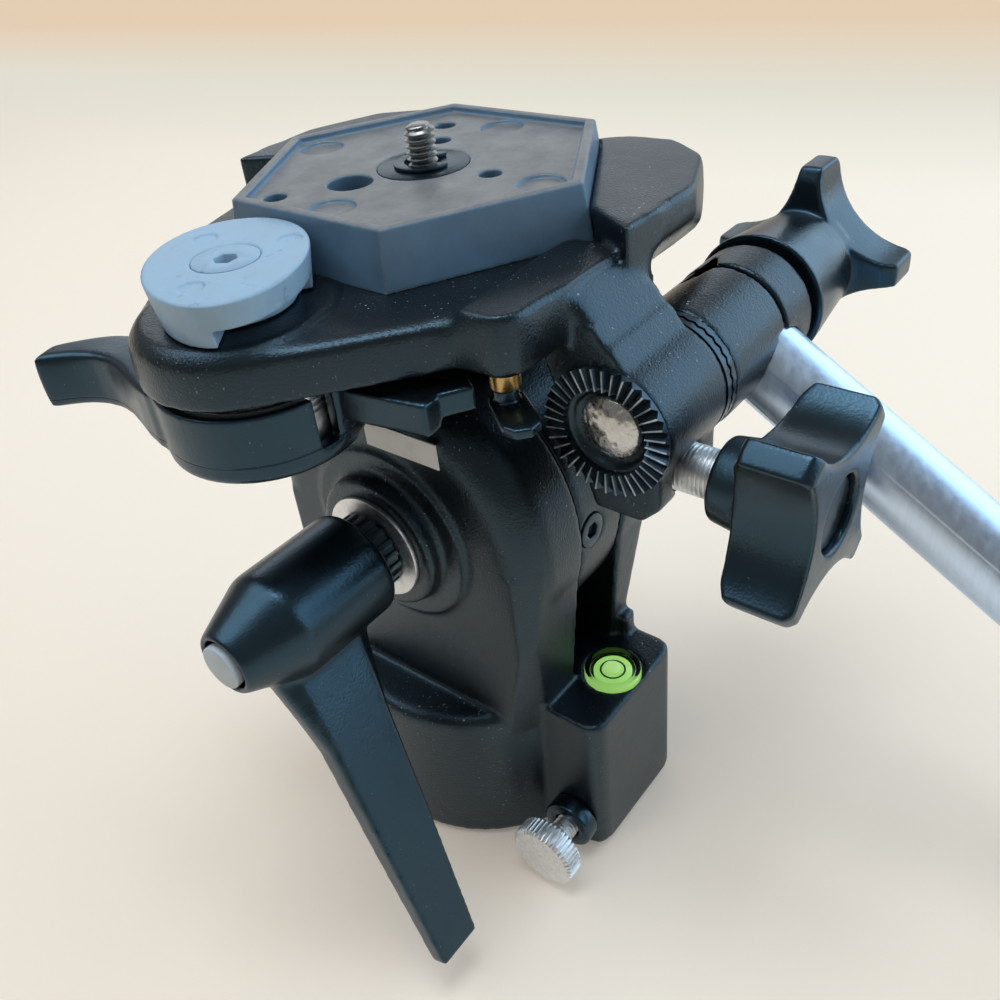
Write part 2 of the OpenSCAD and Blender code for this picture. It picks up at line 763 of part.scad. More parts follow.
module label_plate() color("white")
    translate([-near_face - label_t, label_y - label_w / 2, tilt_z + label_z - label_h / 2])
        cube([label_t, label_w, label_h]);

module pan_boss() color(plastic) at_pan_screw() ring_x(pan_boss_r, pan_screw_r + gap, boss_x, -block_w / 2);

module pan_shoe() color(brass_tone) translate([0, 0, lock_z])
    rod_y(shoe_r, pan_screw_y - shoe_r + seat, -flange_r - gap);

module pan_screw() color(steel) at_pan_screw() {
    rod_x(pan_screw_r, head_x - cut, -shoe_r - gap);
    translate([head_x, 0, 0]) rotate([0, -90, 0]) rotate_extrude() polygon([
        [0, 0], [pan_head_r - 0.6, 0], [pan_head_r, 0.6], [pan_head_r, pan_head_h - 0.8],
        [pan_head_r - 0.8, pan_head_h], [0, pan_head_h]]);
}

// Tilt body

module at_deck_screws() for (x = deck_screw_xs, y = deck_screw_ys)
    translate([x, y, deck_top - deck_screw_head_h]) children();

module deck_screw_shape(grow) {
    cylinder(r = deck_screw_head_r + grow, h = deck_screw_head_h);
    translate([0, 0, -deck_screw_len - grow])
        cylinder(r = deck_screw_r + grow, h = deck_screw_len + grow + cut);
}

module tilt_drum() color(paint) difference() {
    union() {
        at_tilt() rod_x(drum_r, drum_x, drum_end);
        along_x(drum_x, drum_w) polygon([
            [-riser_rear + riser_taper, tilt_z + riser_root], [-riser_rear, deck_z],
            [riser_front, deck_z], [riser_front - riser_taper, tilt_z + riser_root]]);
    }
    at_tilt() {
        rod_x(tilt_shaft_r + seat, drum_x - cut, drum_end + cut);
        rod_x(damper_r + seat, drum_end - damper_w, drum_end + cut);
        translate([drum_screw_x, 0, 0]) {
            rod_y(drum_screw_r + seat, -drum_r - cut, -tilt_shaft_r);
            rod_y(drum_screw_head_r + seat, -drum_r - cut, -drum_r + drum_screw_sink);
        }
    }
    at_deck_screws() deck_screw_shape(seat);
}

module drum_screw() color(plastic) at_tilt() translate([drum_screw_x, 0, 0]) difference() {
    union() {
        rod_y(drum_screw_r, -drum_r + drum_screw_sink - cut, -tilt_shaft_r - seat);
        rod_y(drum_screw_head_r, -drum_r, -drum_r + drum_screw_sink - seat);
    }
    translate([0, -drum_r, 0]) rotate([90, 0, 0]) translate([0, 0, -1.5]) cylinder(r = 2, h = 3, $fn = 6);
}

module tilt_shaft() color(steel) at_tilt() rod_x(tilt_shaft_r, near_bush_x + gap, far_bush_x - gap);

module damper() color("#4b4f55") at_tilt()
    ring_x(damper_r, tilt_shaft_r + 2 * seat, drum_end - damper_w + seat, drum_end - seat);

// The same outline on both sides of the plate's middle line
function mirrored(points) = [for (p = points) [p[0], 2 * plate_y - p[1]]];
function reversed(points) = [for (i = [len(points) - 1 : -1 : 0]) points[i]];

module deck() translate([0, 0, deck_z]) linear_extrude(deck_h) {
    polygon(concat(deck_rear, reversed(mirrored(deck_rear))));
    translate(cam_pos) circle(lobe_r);
}

module jaws() difference() {
    translate([0, 0, deck_z]) linear_extrude(deck_h + jaw_h) {
        polygon(jaw_outline);
        polygon(mirrored(jaw_outline));
    }
    plate_seat();
}

// Room for the quick-release plate
module plate_seat() at_plate() translate([0, 0, deck_top]) hex_frustum(hex_r + gap, hex_top_r + gap, hex_h);

// Chamfer under the rear jaw, away from the bracket
module jaw_chamfer() along_x(chamfer_x, 2 * hex_r) polygon([
    [chamfer_y + cut, deck_z - cut], [chamfer_y - hex_r, deck_z - cut], [chamfer_y - hex_r, deck_z + hex_r]]);

// Bracket behind the deck that carries the handle's joint and the drag knob
module bracket() {
    at_joint() rod_x(joint_r, -bracket_half, bracket_half);
    along_x(-bracket_half, 2 * bracket_half) polygon([
        [joint_y + bracket_front, deck_z + cut], [joint_y - bracket_back, deck_z + cut],
        [joint_y - joint_r, joint_z], [bracket_rear, joint_z - bracket_step],
        [bracket_rear, tilt_z + bracket_low + bracket_bevel],
        [bracket_rear + bracket_bevel, tilt_z + bracket_low],
        [joint_y + bracket_heel, tilt_z + bracket_low], [joint_y + bracket_arch, joint_z]]);
    along_x(-bracket_half, 2 * bracket_half) polygon([
        [joint_y + gusset_front, deck_z], [joint_y - bracket_back, deck_z],
        [joint_y + gusset_top, deck_top], [joint_y + gusset_front, deck_top]]);
}

module platform() color(paint) difference() {
    union() {
        deck();
        jaws();
        bracket();
        difference() {
            union() {
                at_cam() translate([0, 0, deck_top - cut]) cylinder(r = pad_r, h = pad_h + cut);
                translate([0, 0, deck_z]) linear_extrude(lobe_top - deck_z)
                    polygon([for (p = lobe_outline) catch_pos + p]);
            }
            plate_seat();
        }
        at_catch() translate([0, 0, catch_boss_z])
            cylinder(r1 = catch_boss_tip_r, r2 = catch_boss_r, h = catch_boss_h);
    }
    at_cam() translate([0, 0, deck_z - cut]) cylinder(r = cam_shaft_r + run, h = deck_h + pad_h + 2 * cut);
    at_catch() translate([0, 0, catch_boss_z - cut]) cylinder(r = catch_r + run, h = catch_bore_h + cut);
    at_joint() rod_x(bolt_r + seat, -bracket_half - cut, bracket_half + cut);
    at_joint() rod_x(bolt_well_r, -bracket_half - cut, bolt_sink - bracket_half);
    translate([0, 0, drag_z])
        rod_y(drag_stud_r + gap, bracket_rear - cut, bracket_rear + drag_stud_in + gap);
    at_deck_screws() deck_screw_shape(seat);
    jaw_chamfer();
    translate([0, 2 * plate_y, 0]) mirror([0, 1, 0]) jaw_chamfer();
}

module platform_screws() color(steel) at_deck_screws() difference() {
    deck_screw_shape(0);
    translate([0, 0, deck_screw_head_h - deck_socket_h])
        cylinder(r = deck_socket_r, h = deck_socket_h + cut, $fn = 6);
}

module near_rosette() color(plastic) at_joint() rotate([0, 0, 180]) rosette(bracket_half, 0);

module far_rosette() color(plastic) at_joint() rosette(bracket_half, 0);

module clamp_bolt() color(steel) at_joint() {
    rod_x(bolt_r, bolt_sink - bracket_half - cut, star_x + bolt_in_star);
    translate([bolt_sink - bracket_half, 0, 0]) rotate([0, -90, 0]) rotate_extrude() intersection() {
        square([bolt_head_r, bolt_head_h]);
        translate([0, bolt_head_h - dome_r]) circle(dome_r);
    }
}

module hex_plate() color("#2c3138") at_plate() difference() {
    translate([0, 0, deck_top]) hex_frustum(hex_r, hex_top_r, hex_h);
    translate([0, 0, hex_floor]) hex_frustum(hex_top_r - hex_rim, hex_top_r - hex_rim, hex_sink + cut);
    translate([0, 0, deck_top - cut])
        cylinder(r = camera_head_r + gap, h = cut + head_z - deck_top + camera_head_h + gap);
    translate([0, 0, deck_top]) cylinder(r = camera_r + gap, h = hex_h);
    translate([0, 0, hex_floor - plate_ring_h]) cylinder(r = plate_ring_r + seat, h = plate_ring_h + cut);
    translate([plate_hole[0], plate_hole[1], deck_top - cut]) cylinder(r = plate_hole_r, h = hex_h + cut);
    for (p = small_holes) translate([p[0], p[1], hex_floor - 5]) cylinder(r = small_hole_r, h = 5 + cut);
    for (p = pockets) translate([p[0], p[1], hex_floor - pocket_h])
        cylinder(r = pocket_r, h = pocket_h + cut);
}

module plate_ring() color(plastic) at_plate()
    ring(plate_ring_r, camera_r + gap, hex_floor - plate_ring_h, plate_ring_h);

module camera_screw() color(steel) at_plate() difference() {
    union() {
        translate([0, 0, head_z]) cylinder(r = camera_head_r, h = camera_head_h);
        translate([0, 0, head_z]) cylinder(r = camera_neck_r, h = hex_floor - head_z + cut);
        translate([0, 0, hex_floor]) cylinder(r = camera_r, h = camera_reach);
    }
    translate([-camera_head_r - cut, -0.8, head_z - cut]) cube([2 * camera_head_r + 2 * cut, 1.6, 2 + cut]);
}

// Quick-release lever and its cam

// Egg-shaped outline with its long axis along X
function egg(count) = [for (i = [0 : count - 1]) let (a = i * 360 / count)
    [cam_long * cos(a), cam_short * sin(a) * (1 + 0.08 * cos(a))]];

module qr_cam() color("#8fa0ab") at_cam() difference() {
    translate([0, 0, cam_z + cam_h]) mirror([0, 0, 1]) rotate(cam_turn)
        linear_extrude(cam_h, scale = cam_taper) polygon(egg(48));
    translate([0, 0, cam_z - cut]) cylinder(r = cam_shaft_r + seat, h = cam_h + 2 * cut);
    translate([0, 0, cam_screw_z]) cylinder(r = cam_screw_r + seat, h = cam_screw_h + cut);
    translate([0, 0, cam_z - cut]) linear_extrude(notch_h + cut) difference() {
        polygon(concat([[0, 0]], [for (a = [notch_from : 25 : notch_to]) 2 * cam_long * [cos(a), sin(a)]]));
        circle(notch_r);
    }
}

module cam_screw() color("#8fa0ab") at_cam() translate([0, 0, cam_screw_z]) difference() {
    union() {
        cylinder(r = cam_screw_r, h = cam_screw_h);
        translate([0, 0, -cam_thread_len]) cylinder(r = cam_thread_r, h = cam_thread_len + cut);
    }
    translate([0, 0, cam_screw_h - cam_socket_h]) cylinder(r = cam_socket_r, h = cam_socket_h + cut, $fn = 6);
}

module qr_shaft() color(steel) at_cam() difference() {
    translate([0, 0, cup_z + cup_wall]) cylinder(r = cam_shaft_r, h = cam_screw_z - seat - cup_z - cup_wall);
    translate([0, 0, cam_screw_z - cam_thread_len - seat])
        cylinder(r = cam_thread_r + seat, h = cam_thread_len + cut);
}

// Points of the lever's arm, which bends out and back on its way to the tip
function arm_mid(t) = [t * lever_reach, lever_bend * sin(360 * t) * (1 - t / 3)];
function arm_half(t) = lever_root_half + (lever_tip_half - lever_root_half) * t;
arm_steps = [for (i = [3 : 12]) i / 12];

module lever_arm() linear_extrude(lever_h) polygon(concat(
    [for (t = arm_steps) arm_mid(t) - [0, arm_half(t)]],
    [for (t = reversed(arm_steps)) arm_mid(t) + [0, arm_half(t)]]));

module qr_lever() color(plastic) at_cam() difference() {
    union() {
        translate([0, 0, cup_z]) rotate_extrude() {
            translate([0, 2]) square([cup_r, cup_h - 2]);
            square([cup_r - 2, 2]);
            translate([cup_r - 2, 2]) circle(2);
        }
        translate([0, 0, lever_z]) rotate(lever_tip_angle) lever_arm();
        rotate(lug_angle) {
            translate([0, 0, lug_top - lug_h]) linear_extrude(lug_h) polygon(lug_outline);
            translate([0, 0, lug_top - finger_h]) linear_extrude(finger_h) polygon(finger_outline);
        }
    }
    translate([0, 0, cup_z + cup_wall]) cylinder(r = cup_r - cup_wall, h = cup_h);
    rotate(cup_slot_angle) translate([0, -cup_slot_w / 2, cup_slot_z]) cube([cup_r + cut, cup_slot_w, cup_h]);
}

module lever_washers() color(steel) at_cam() rotate_extrude() {
    bottom = cup_z + cup_wall;
    height = deck_z - 0.3 - bottom;
    outer = cup_r - cup_wall - 0.5;
    difference() {
        translate([cam_shaft_r + seat, bottom]) square([outer - cam_shaft_r - seat, height]);
        for (i = [1 : washer_grooves]) translate([outer, bottom + height - groove_pitch * i])
            circle(groove_r);
    }
}

// Safety catch

module catch_pin() color(brass_tone) at_catch() translate([0, 0, catch_boss_z - pin_show])
    cylinder(r = catch_r, h = pin_show + catch_in);

module catch_tab() color(plastic) translate([0, 0, catch_boss_z - catch_show - tab_h]) {
    hull() {
        translate(catch_pos) rotate(22.5) cylinder(r = tab_half, h = tab_h, $fn = 8);
        translate(tab_end) rotate(22.5) cylinder(r = tab_half, h = tab_h, $fn = 8);
    }
    translate(catch_pos) cylinder(r = stem_r, h = tab_h + catch_show - pin_show);
}

module catch_spring() color(steel) at_catch()
    ring(catch_r - 0.3, catch_r - 0.3 - spring_wall, catch_boss_z + catch_in, catch_bore_h - catch_in);

// Ratchet locking lever

module lock_insert() color(plastic) at_tilt() difference() {
    union() {
        rod_x(lock_stud_r, insert_x - cut, near_bush_x - gap);
        along_x(insert_end, insert_x - insert_end) {
            circle(insert_rib_r - rib_depth);
            for (i = [0 : rib_count - 1]) rotate(i * 360 / rib_count) translate([0, -0.7])
                square([insert_rib_r, 1.4]);
        }
    }
    rod_x(lock_screw_r + seat, insert_end - cut, insert_end + insert_in - seat);
}

module lock_lever() color(plastic) at_tilt() difference() {
    union() {
        rod_x(lever_hub_r, lever_x - lever_hub_len, lever_x);
        translate([lever_x - lever_hub_len, 0, 0]) rotate([0, -90, 0])
            cylinder(r1 = lever_hub_r, r2 = lever_end_r, h = lever_cone_len);
        rotate([90 + lever_angle, 0, 0]) hull() {
            translate([arm_root_x - arm_root_w / 2, -arm_root_t / 2, arm_root])
                cube([arm_root_w, arm_root_t, 1]);
            translate([arm_root_x - arm_lean - arm_tip_w / 2, -arm_tip_t / 2, lever_len - 1])
                cube([arm_tip_w, arm_tip_t, 1]);
        }
        rotate([90 + lever_angle, 0, 0]) hull() {
            translate([arm_root_x - flare_root_w / 2, -flare_t / 2, flare_root])
                cube([flare_root_w, flare_t, 1]);
            translate([arm_root_x - flare_lean - flare_tip_w / 2, -flare_t / 2, flare_reach])
                cube([flare_tip_w, flare_t, 1]);
        }
    }
    rod_x(lever_bore_r, shoulder_x, lever_x + cut);
    rod_x(lock_screw_r + gap, lever_end_x - cut, lever_x);
    rod_x(cap_r + seat, lever_end_x - cut, shoulder_x - shoulder_h);
}

module lock_spring() color(steel) at_tilt()
    ring_x(lock_screw_r + gap + spring_wall, lock_screw_r + gap, lock_head_x, shoulder_x - shoulder_h);

module lock_screw() color(steel) at_tilt() {
    rod_x(lock_head_r, lock_head_x - lock_head_h, lock_head_x);
    rod_x(lock_screw_r, lock_head_x - cut, insert_end + insert_in - 2 * seat);
}

module lock_cap() color("#c9cdd0") at_tilt()
    rod_x(cap_r, lever_end_x - cap_proud, lever_end_x - cap_proud + cap_h);

// Drag knob

module drag_stud() color(steel) translate([0, 0, drag_z])
    rod_y(drag_stud_r, drag_knob_y - drag_collar_len, bracket_rear + drag_stud_in);

module drag_knob() color(plastic) along_drag(drag_knob_y) difference() {
    rotate(drag_wing_angle) wing_knob(drag_collar_r, drag_collar_r + 1, drag_collar_len, drag_wing_len);
    translate([0, 0, -cut]) cylinder(r = drag_stud_r + seat, h = drag_collar_len + cut);
    translate([0, 0, drag_cap_z]) cylinder(r = knob_cap_r + seat, h = 3 * knob_cap_h);
}

module drag_cap() color(plastic) along_drag(drag_knob_y) translate([0, 0, drag_cap_z])
    cylinder(r = knob_cap_r, h = knob_cap_h);

// Handle

module clamp_rosette() color(plastic) at_joint() translate([clamp_x, 0, 0]) rotate([0, 0, 180])
    rosette(0, 180 / tooth_count);

module tube_groove() along_handle() translate([0, 0, -tube_back - cut])
    cylinder(r = tube_r + seat, h = 4 * joint_r);

module clamp_inner() color(paint) difference() {
    at_joint() rod_x(joint_r + 0.3, clamp_x, tube_x - split_gap / 2);
    at_joint() rod_x(bolt_r + run, clamp_x - cut, tube_x);
    tube_groove();
}

module clamp_outer() color(paint) difference() {
    at_joint() rod_x(joint_r + 0.6, tube_x + split_gap / 2, clamp_end);
    at_joint() rod_x(bolt_r + run, tube_x, clamp_end + cut);
    tube_groove();
}

module handle_tube() color("#c4c9cf") difference() {
    along_handle() translate([0, 0, -tube_back]) cylinder(r = tube_r, h = tube_len + tube_back);
    along_handle() translate([0, 0, -tube_back - cut])
        cylinder(r = tube_r - tube_wall, h = tube_len + tube_back + 2 * cut);
    at_joint() rod_x(bolt_r + run, clamp_x, clamp_end);
}

module handle_grip() color(plastic) along_handle() difference() {
    translate([0, 0, grip_start]) rotate_extrude() {
        difference() {
            square([tube_r + grip_wall, grip_len]);
            for (i = [1 : 8]) translate([tube_r + grip_wall + 0.6, i * grip_len / 9]) circle(1.6);
        }
    }
    translate([0, 0, grip_start - cut]) cylinder(r = tube_r + seat, h = grip_len + 2 * cut);
}

module grip_cap() color(plastic) along_handle() {
    translate([0, 0, tube_len]) cylinder(r = tube_r + grip_wall, h = grip_cap_h);
    translate([0, 0, tube_len - 6]) cylinder(r = tube_r - tube_wall - seat, h = 6 + cut);
}

// Star knob that tightens the handle's clamp

module clamp_washer() color(steel) at_joint() ring_x(clamp_washer_r, bolt_r + run, clamp_washer_x, star_x);

module star_knob() color(plastic) at_joint() translate([star_x, 0, 0]) rotate([0, 90, 0]) difference() {
    wing_knob(star_collar_r, star_collar_tip_r, star_collar_len, star_wing_len);
    translate([0, 0, -cut]) cylinder(r = bolt_r + run, h = bolt_in_star + gap + cut);
    translate([0, 0, star_cap_z]) cylinder(r = knob_cap_r + seat, h = 3 * knob_cap_h);
}

module star_cap() color(plastic) at_joint()
    rod_x(knob_cap_r, star_x + star_cap_z, star_x + star_cap_z + knob_cap_h);

tripod_plate();
thread_insert();
pan_spindle();
spindle_screws();
housing();
pan_bush();
pan_retainer();
retainer_screws();
near_bush();
far_bush();
flange_washer();
side_cover();
cover_screws();
level_vial();
level_fluid();
label_plate();
pan_boss();
pan_shoe();
pan_screw();
tilt_drum();
tilt_shaft();
damper();
drum_screw();
platform();
platform_screws();
near_rosette();
far_rosette();
clamp_bolt();
hex_plate();
plate_ring();
camera_screw();
qr_cam();
cam_screw();
qr_shaft();
qr_lever();
lever_washers();
catch_pin();
catch_tab();
catch_spring();
lock_insert();
lock_lever();
lock_spring();
lock_screw();
lock_cap();
drag_stud();
drag_knob();
drag_cap();
clamp_rosette();
clamp_inner();
clamp_outer();
handle_tube();
handle_grip();
grip_cap();
clamp_washer();
star_knob();
star_cap();
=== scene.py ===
import json
import math

import bmesh
import bpy
from bpy.props import FloatProperty, FloatVectorProperty, IntProperty, PointerProperty
from bpy.types import Operator, Panel, PropertyGroup
from mathutils import Matrix, Vector


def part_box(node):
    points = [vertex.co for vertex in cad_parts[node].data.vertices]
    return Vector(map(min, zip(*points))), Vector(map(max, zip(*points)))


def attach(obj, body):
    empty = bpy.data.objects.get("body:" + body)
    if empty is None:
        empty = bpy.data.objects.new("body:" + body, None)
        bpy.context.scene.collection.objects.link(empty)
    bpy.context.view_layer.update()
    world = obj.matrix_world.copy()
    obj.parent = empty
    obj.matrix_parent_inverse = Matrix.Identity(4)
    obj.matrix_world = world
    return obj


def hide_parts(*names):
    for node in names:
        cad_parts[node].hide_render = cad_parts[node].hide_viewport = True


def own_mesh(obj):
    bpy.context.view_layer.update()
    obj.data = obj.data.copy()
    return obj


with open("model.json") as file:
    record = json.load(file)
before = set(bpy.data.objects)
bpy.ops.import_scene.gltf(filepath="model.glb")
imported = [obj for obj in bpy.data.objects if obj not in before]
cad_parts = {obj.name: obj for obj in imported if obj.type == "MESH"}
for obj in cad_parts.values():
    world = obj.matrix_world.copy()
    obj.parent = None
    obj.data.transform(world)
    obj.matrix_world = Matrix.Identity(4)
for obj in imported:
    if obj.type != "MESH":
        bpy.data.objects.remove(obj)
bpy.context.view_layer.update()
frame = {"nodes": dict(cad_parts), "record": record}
NODES = frame["nodes"]
BODY_OF = {n: b for b, names in frame["record"]["behaviour"]["bodies"].items() for n in names}
SLOT_OF = {s["node"]: s["material_slot"] for s in frame["record"]["subparts"]}

bl_info = {
    "name": "Fluid Video Head",
    "version": (1, 0, 0),
    "blender": (4, 5, 0),
    "location": "View3D > Sidebar > Video Head",
    "description": "Dresses the solids of a fluid video head with its finished pieces",
    "category": "Object",
}

MM = 0.001
MERGE = 2e-6
TURN = 2 * math.pi
SHARP = math.radians(30)

# Depth of a thread as a share of its pitch
THREAD_DEPTH = 0.6

# Steps around a rosette for each of its teeth
TOOTH_STEPS = 12

# Turns a shape that is drawn along +Z to another direction
TO_X = Matrix.Rotation(math.radians(90), 4, "Y")
TO_MINUS_X = Matrix.Rotation(math.radians(-90), 4, "Y")
TO_MINUS_Y = Matrix.Rotation(math.radians(90), 4, "X")

# Where the cam's three moulding marks lie around its screw
MARK_ANGLES = [math.radians(a) for a in (68, -21, -158)]

# Upright corners of the rear jaw from the plate's middle, in mm
JAW_CORNERS = ((16.8, 54.9), (35.0, 46.8), (42.1, 36.2))


class HeadSizes(PropertyGroup):
    """Sizes of the details that the solids leave out."""

    camera_pitch: FloatProperty(
        name="Camera thread", description="Pitch of the camera screw's thread",
        default=1.27 * MM, min=0.5 * MM, max=3 * MM, unit="LENGTH", precision=5)
    stud_pitch: FloatProperty(
        name="Stud thread", description="Pitch of the drag stud's and the thumbscrew's thread",
        default=0.9 * MM, min=0.5 * MM, max=3 * MM, unit="LENGTH", precision=5)
    cast_voxel: FloatProperty(
        name="Casting mesh", description="Edge of one face of the castings",
        default=0.6 * MM, min=0.3 * MM, max=3 * MM, unit="LENGTH", precision=5)
    moulded_voxel: FloatProperty(
        name="Moulding mesh", description="Edge of one face of the moulded knobs and levers",
        default=0.35 * MM, min=0.2 * MM, max=3 * MM, unit="LENGTH", precision=5)
    cast_rounds: IntProperty(
        name="Casting rounding", description="Rounds of smoothing on the castings' edges",
        default=12, min=0, max=60)
    moulded_rounds: IntProperty(
        name="Moulding rounding", description="Rounds of smoothing on the mouldings' edges",
        default=22, min=0, max=60)
    lip_rounds: IntProperty(
        name="Deck lip rounding", description="Further rounds of smoothing on the deck's upper edge",
        default=80, min=0, max=160)
    corner_rounds: IntProperty(
        name="Corner rounding", description="Further rounds of smoothing on the jaws' upright corners",
        default=160, min=0, max=300)
    most_triangles: IntProperty(
        name="Most triangles", description="Most triangles that one casting may keep",
        default=160000, min=10000, max=190000)
    edge_break: FloatProperty(
        name="Broken edge", description="Width of the bevel on turned and milled edges",
        default=0.35 * MM, min=0.05 * MM, max=1 * MM, unit="LENGTH", precision=5)
    knurl_count: IntProperty(
        name="Knurls", description="Grooves around the thumbscrew's head",
        default=44, min=12, max=90)
    tooth_count: IntProperty(
        name="Rosette teeth", description="Teeth around each rosette of the handle's joint",
        default=36, min=24, max=72)
    coil_turns: IntProperty(
        name="Spring turns", description="Turns of each coil spring",
        default=6, min=3, max=12)


class HeadColours(PropertyGroup):
    """Colours of the finishes."""

    paint: FloatVectorProperty(
        name="Paint", description="Black paint of the castings",
        subtype="COLOR", default=(0.0042, 0.0048, 0.0055), min=0, max=1)
    plastic: FloatVectorProperty(
        name="Plastic", description="Black plastic of the knobs and levers",
        subtype="COLOR", default=(0.0034, 0.0042, 0.0052), min=0, max=1)
    # The plate's blue is a painted sky reflection on its charcoal
    plate: FloatVectorProperty(
        name="Plate", description="Charcoal of the quick-release plate",
        subtype="COLOR", default=(0.110, 0.195, 0.285), min=0, max=1)
    cam: FloatVectorProperty(
        name="Cam", description="Pale paint of the quick-release cam",
        subtype="COLOR", default=(0.31, 0.46, 0.60), min=0, max=1)
    steel: FloatVectorProperty(
        name="Steel", description="Plated steel of the screws and washers",
        subtype="COLOR", default=(0.66, 0.66, 0.64), min=0, max=1)
    # The tube's blue is a painted sky reflection on its aluminium
    tube: FloatVectorProperty(
        name="Tube", description="Drawn aluminium of the handle's tube",
        subtype="COLOR", default=(0.62, 0.77, 0.99), min=0, max=1)
    brass: FloatVectorProperty(
        name="Brass", description="Brass of the catch pin",
        subtype="COLOR", default=(0.55, 0.37, 0.14), min=0, max=1)
    fluid: FloatVectorProperty(
        name="Fluid", description="Fluid of the bullseye level",
        subtype="COLOR", default=(0.60, 0.88, 0.17), min=0, max=1)
    floor: FloatVectorProperty(
        name="Floor", description="Floor under the head",
        subtype="COLOR", default=(0.90, 0.76, 0.63), min=0, max=1)


# Finishes


class Finish:
    """Node tree of one finish around its Principled shader."""

    def __init__(self, name, colour, roughness, metallic=0.0):
        self.material = bpy.data.materials.new(name)
        self.material.use_nodes = True
        self.tree = self.material.node_tree
        self.shader = self.tree.nodes["Principled BSDF"]
        self.shader.inputs["Base Color"].default_value = (*colour, 1)
        self.shader.inputs["Roughness"].default_value = roughness
        self.shader.inputs["Metallic"].default_value = metallic
        self.object = self.add("ShaderNodeTexCoord").outputs["Object"]

    def painted_reflection_tint(self, colour, level):
        """Colour and level of the light that a black finish throws back; a blue colour here is a painted sky
        reflection.
        """
        self.shader.inputs["Specular Tint"].default_value = (*colour, 1)
        self.shader.inputs["Specular IOR Level"].default_value = level

    def add(self, kind, **settings):
        node = self.tree.nodes.new(kind)
        for key, value in settings.items():
            setattr(node, key, value)
        return node

    def join(self, socket, target):
        self.tree.links.new(socket, target)

    def turned(self, scale=(1, 1, 1), rotation=(0, 0, 0)):
        """Object coordinates through a Mapping node."""
        node = self.add("ShaderNodeMapping")
        node.inputs["Scale"].default_value = scale
        node.inputs["Rotation"].default_value = rotation
        self.join(self.object, node.inputs["Vector"])
        return node.outputs["Vector"]

    def noise(self, scale, detail=2.0, coarse=0.5, vector=None):
        node = self.add("ShaderNodeTexNoise")
        node.inputs["Scale"].default_value = scale
        node.inputs["Detail"].default_value = detail
        node.inputs["Roughness"].default_value = coarse
        self.join(vector or self.object, node.inputs["Vector"])
        return node.outputs["Fac"]

    def cells(self, scale):
        node = self.add("ShaderNodeTexVoronoi")
        node.inputs["Scale"].default_value = scale
        self.join(self.object, node.inputs["Vector"])
        return node.outputs["Distance"]

    def span(self, value, low, high, out_low=0.0, out_high=1.0):
        """Spreads the part of a value between low and high over a new range."""
        node = self.add("ShaderNodeMapRange")
        node.clamp = True
        numbers = {"From Min": low, "From Max": high, "To Min": out_low, "To Max": out_high}
        for socket, number in numbers.items():
            node.inputs[socket].default_value = number
        self.join(value, node.inputs["Value"])
        return node.outputs["Result"]

    def math(self, operation, a, b):
        node = self.add("ShaderNodeMath", operation=operation)
        for socket, value in zip(node.inputs, (a, b)):
            if isinstance(value, (int, float)):
                socket.default_value = value
            else:
                self.join(value, socket)
        return node.outputs[0]

    def mix(self, amount, first, second):
        """Mixes two colours, each a tuple or a socket."""
        node = self.add("ShaderNodeMix", data_type="RGBA")
        self.join(amount, node.inputs["Factor"])
        for socket, value in ((node.inputs[6], first), (node.inputs[7], second)):
            if isinstance(value, (tuple, list)):
                socket.default_value = (*value[:3], 1)
            else:
                self.join(value, socket)
        return node.outputs[2]

    def up_facing(self):
        """How far a face looks up at rest."""
        split = self.add("ShaderNodeSeparateXYZ")
        self.join(self.add("ShaderNodeTexCoord").outputs["Normal"], split.inputs["Vector"])
        return split.outputs["Z"]

    def edges(self, low, high):
        """Convex edges, from the mesh's own curvature."""
        return self.span(self.add("ShaderNodeNewGeometry").outputs["Pointiness"], low, high)

    def bump(self, height, strength, distance, under=None):
        node = self.add("ShaderNodeBump")
        node.inputs["Strength"].default_value = strength
        node.inputs["Distance"].default_value = distance
        self.join(height, node.inputs["Height"])
        if under:
            self.join(under, node.inputs["Normal"])
        return node.outputs["Normal"]

    def colour(self, socket):
        self.join(socket, self.shader.inputs["Base Color"])

    def rough(self, socket):
        self.join(socket, self.shader.inputs["Roughness"])

    def normal(self, socket):
        self.join(socket, self.shader.inputs["Normal"])


def lighter(colour, times):
    return tuple(min(1.0, c * times) for c in colour)


def painted(name, colour, wear):
    """Sprayed paint with a fine grain, dust on top and a little wear along its edges."""
    f = Finish(name, colour, 0.3)
    # Blue tint of the paint's reflections: a painted sky reflection
    f.painted_reflection_tint((0.50, 0.78, 1.0), 0.8)
    cloud = f.noise(55, 3)
    grain = f.noise(2000, 2, 0.55)
    base = f.mix(f.span(cloud, 0.35, 0.7), lighter(colour, 0.8), lighter(colour, 1.35))
    worn = f.math("MULTIPLY", f.edges(0.535, 0.60), f.span(f.noise(420, 4, 0.7), 0.46, 0.62))
    base = f.mix(worn, base, wear)
    specks = f.span(f.noise(1500, 1, 0.3), 0.72, 0.77)
    specks = f.math("MULTIPLY", specks, f.span(f.noise(60, 2), 0.44, 0.6))
    specks = f.math("MULTIPLY", specks, f.span(f.up_facing(), -0.3, 0.7, 0.15, 0.85))
    f.colour(f.mix(specks, base, (0.42, 0.42, 0.40)))
    f.rough(f.span(f.math("ADD", cloud, specks), 0.3, 1.0, 0.27, 0.42))
    f.normal(f.bump(grain, 0.5, 0.00022, f.bump(f.noise(260, 2), 0.12, 0.0006)))
    return f.material


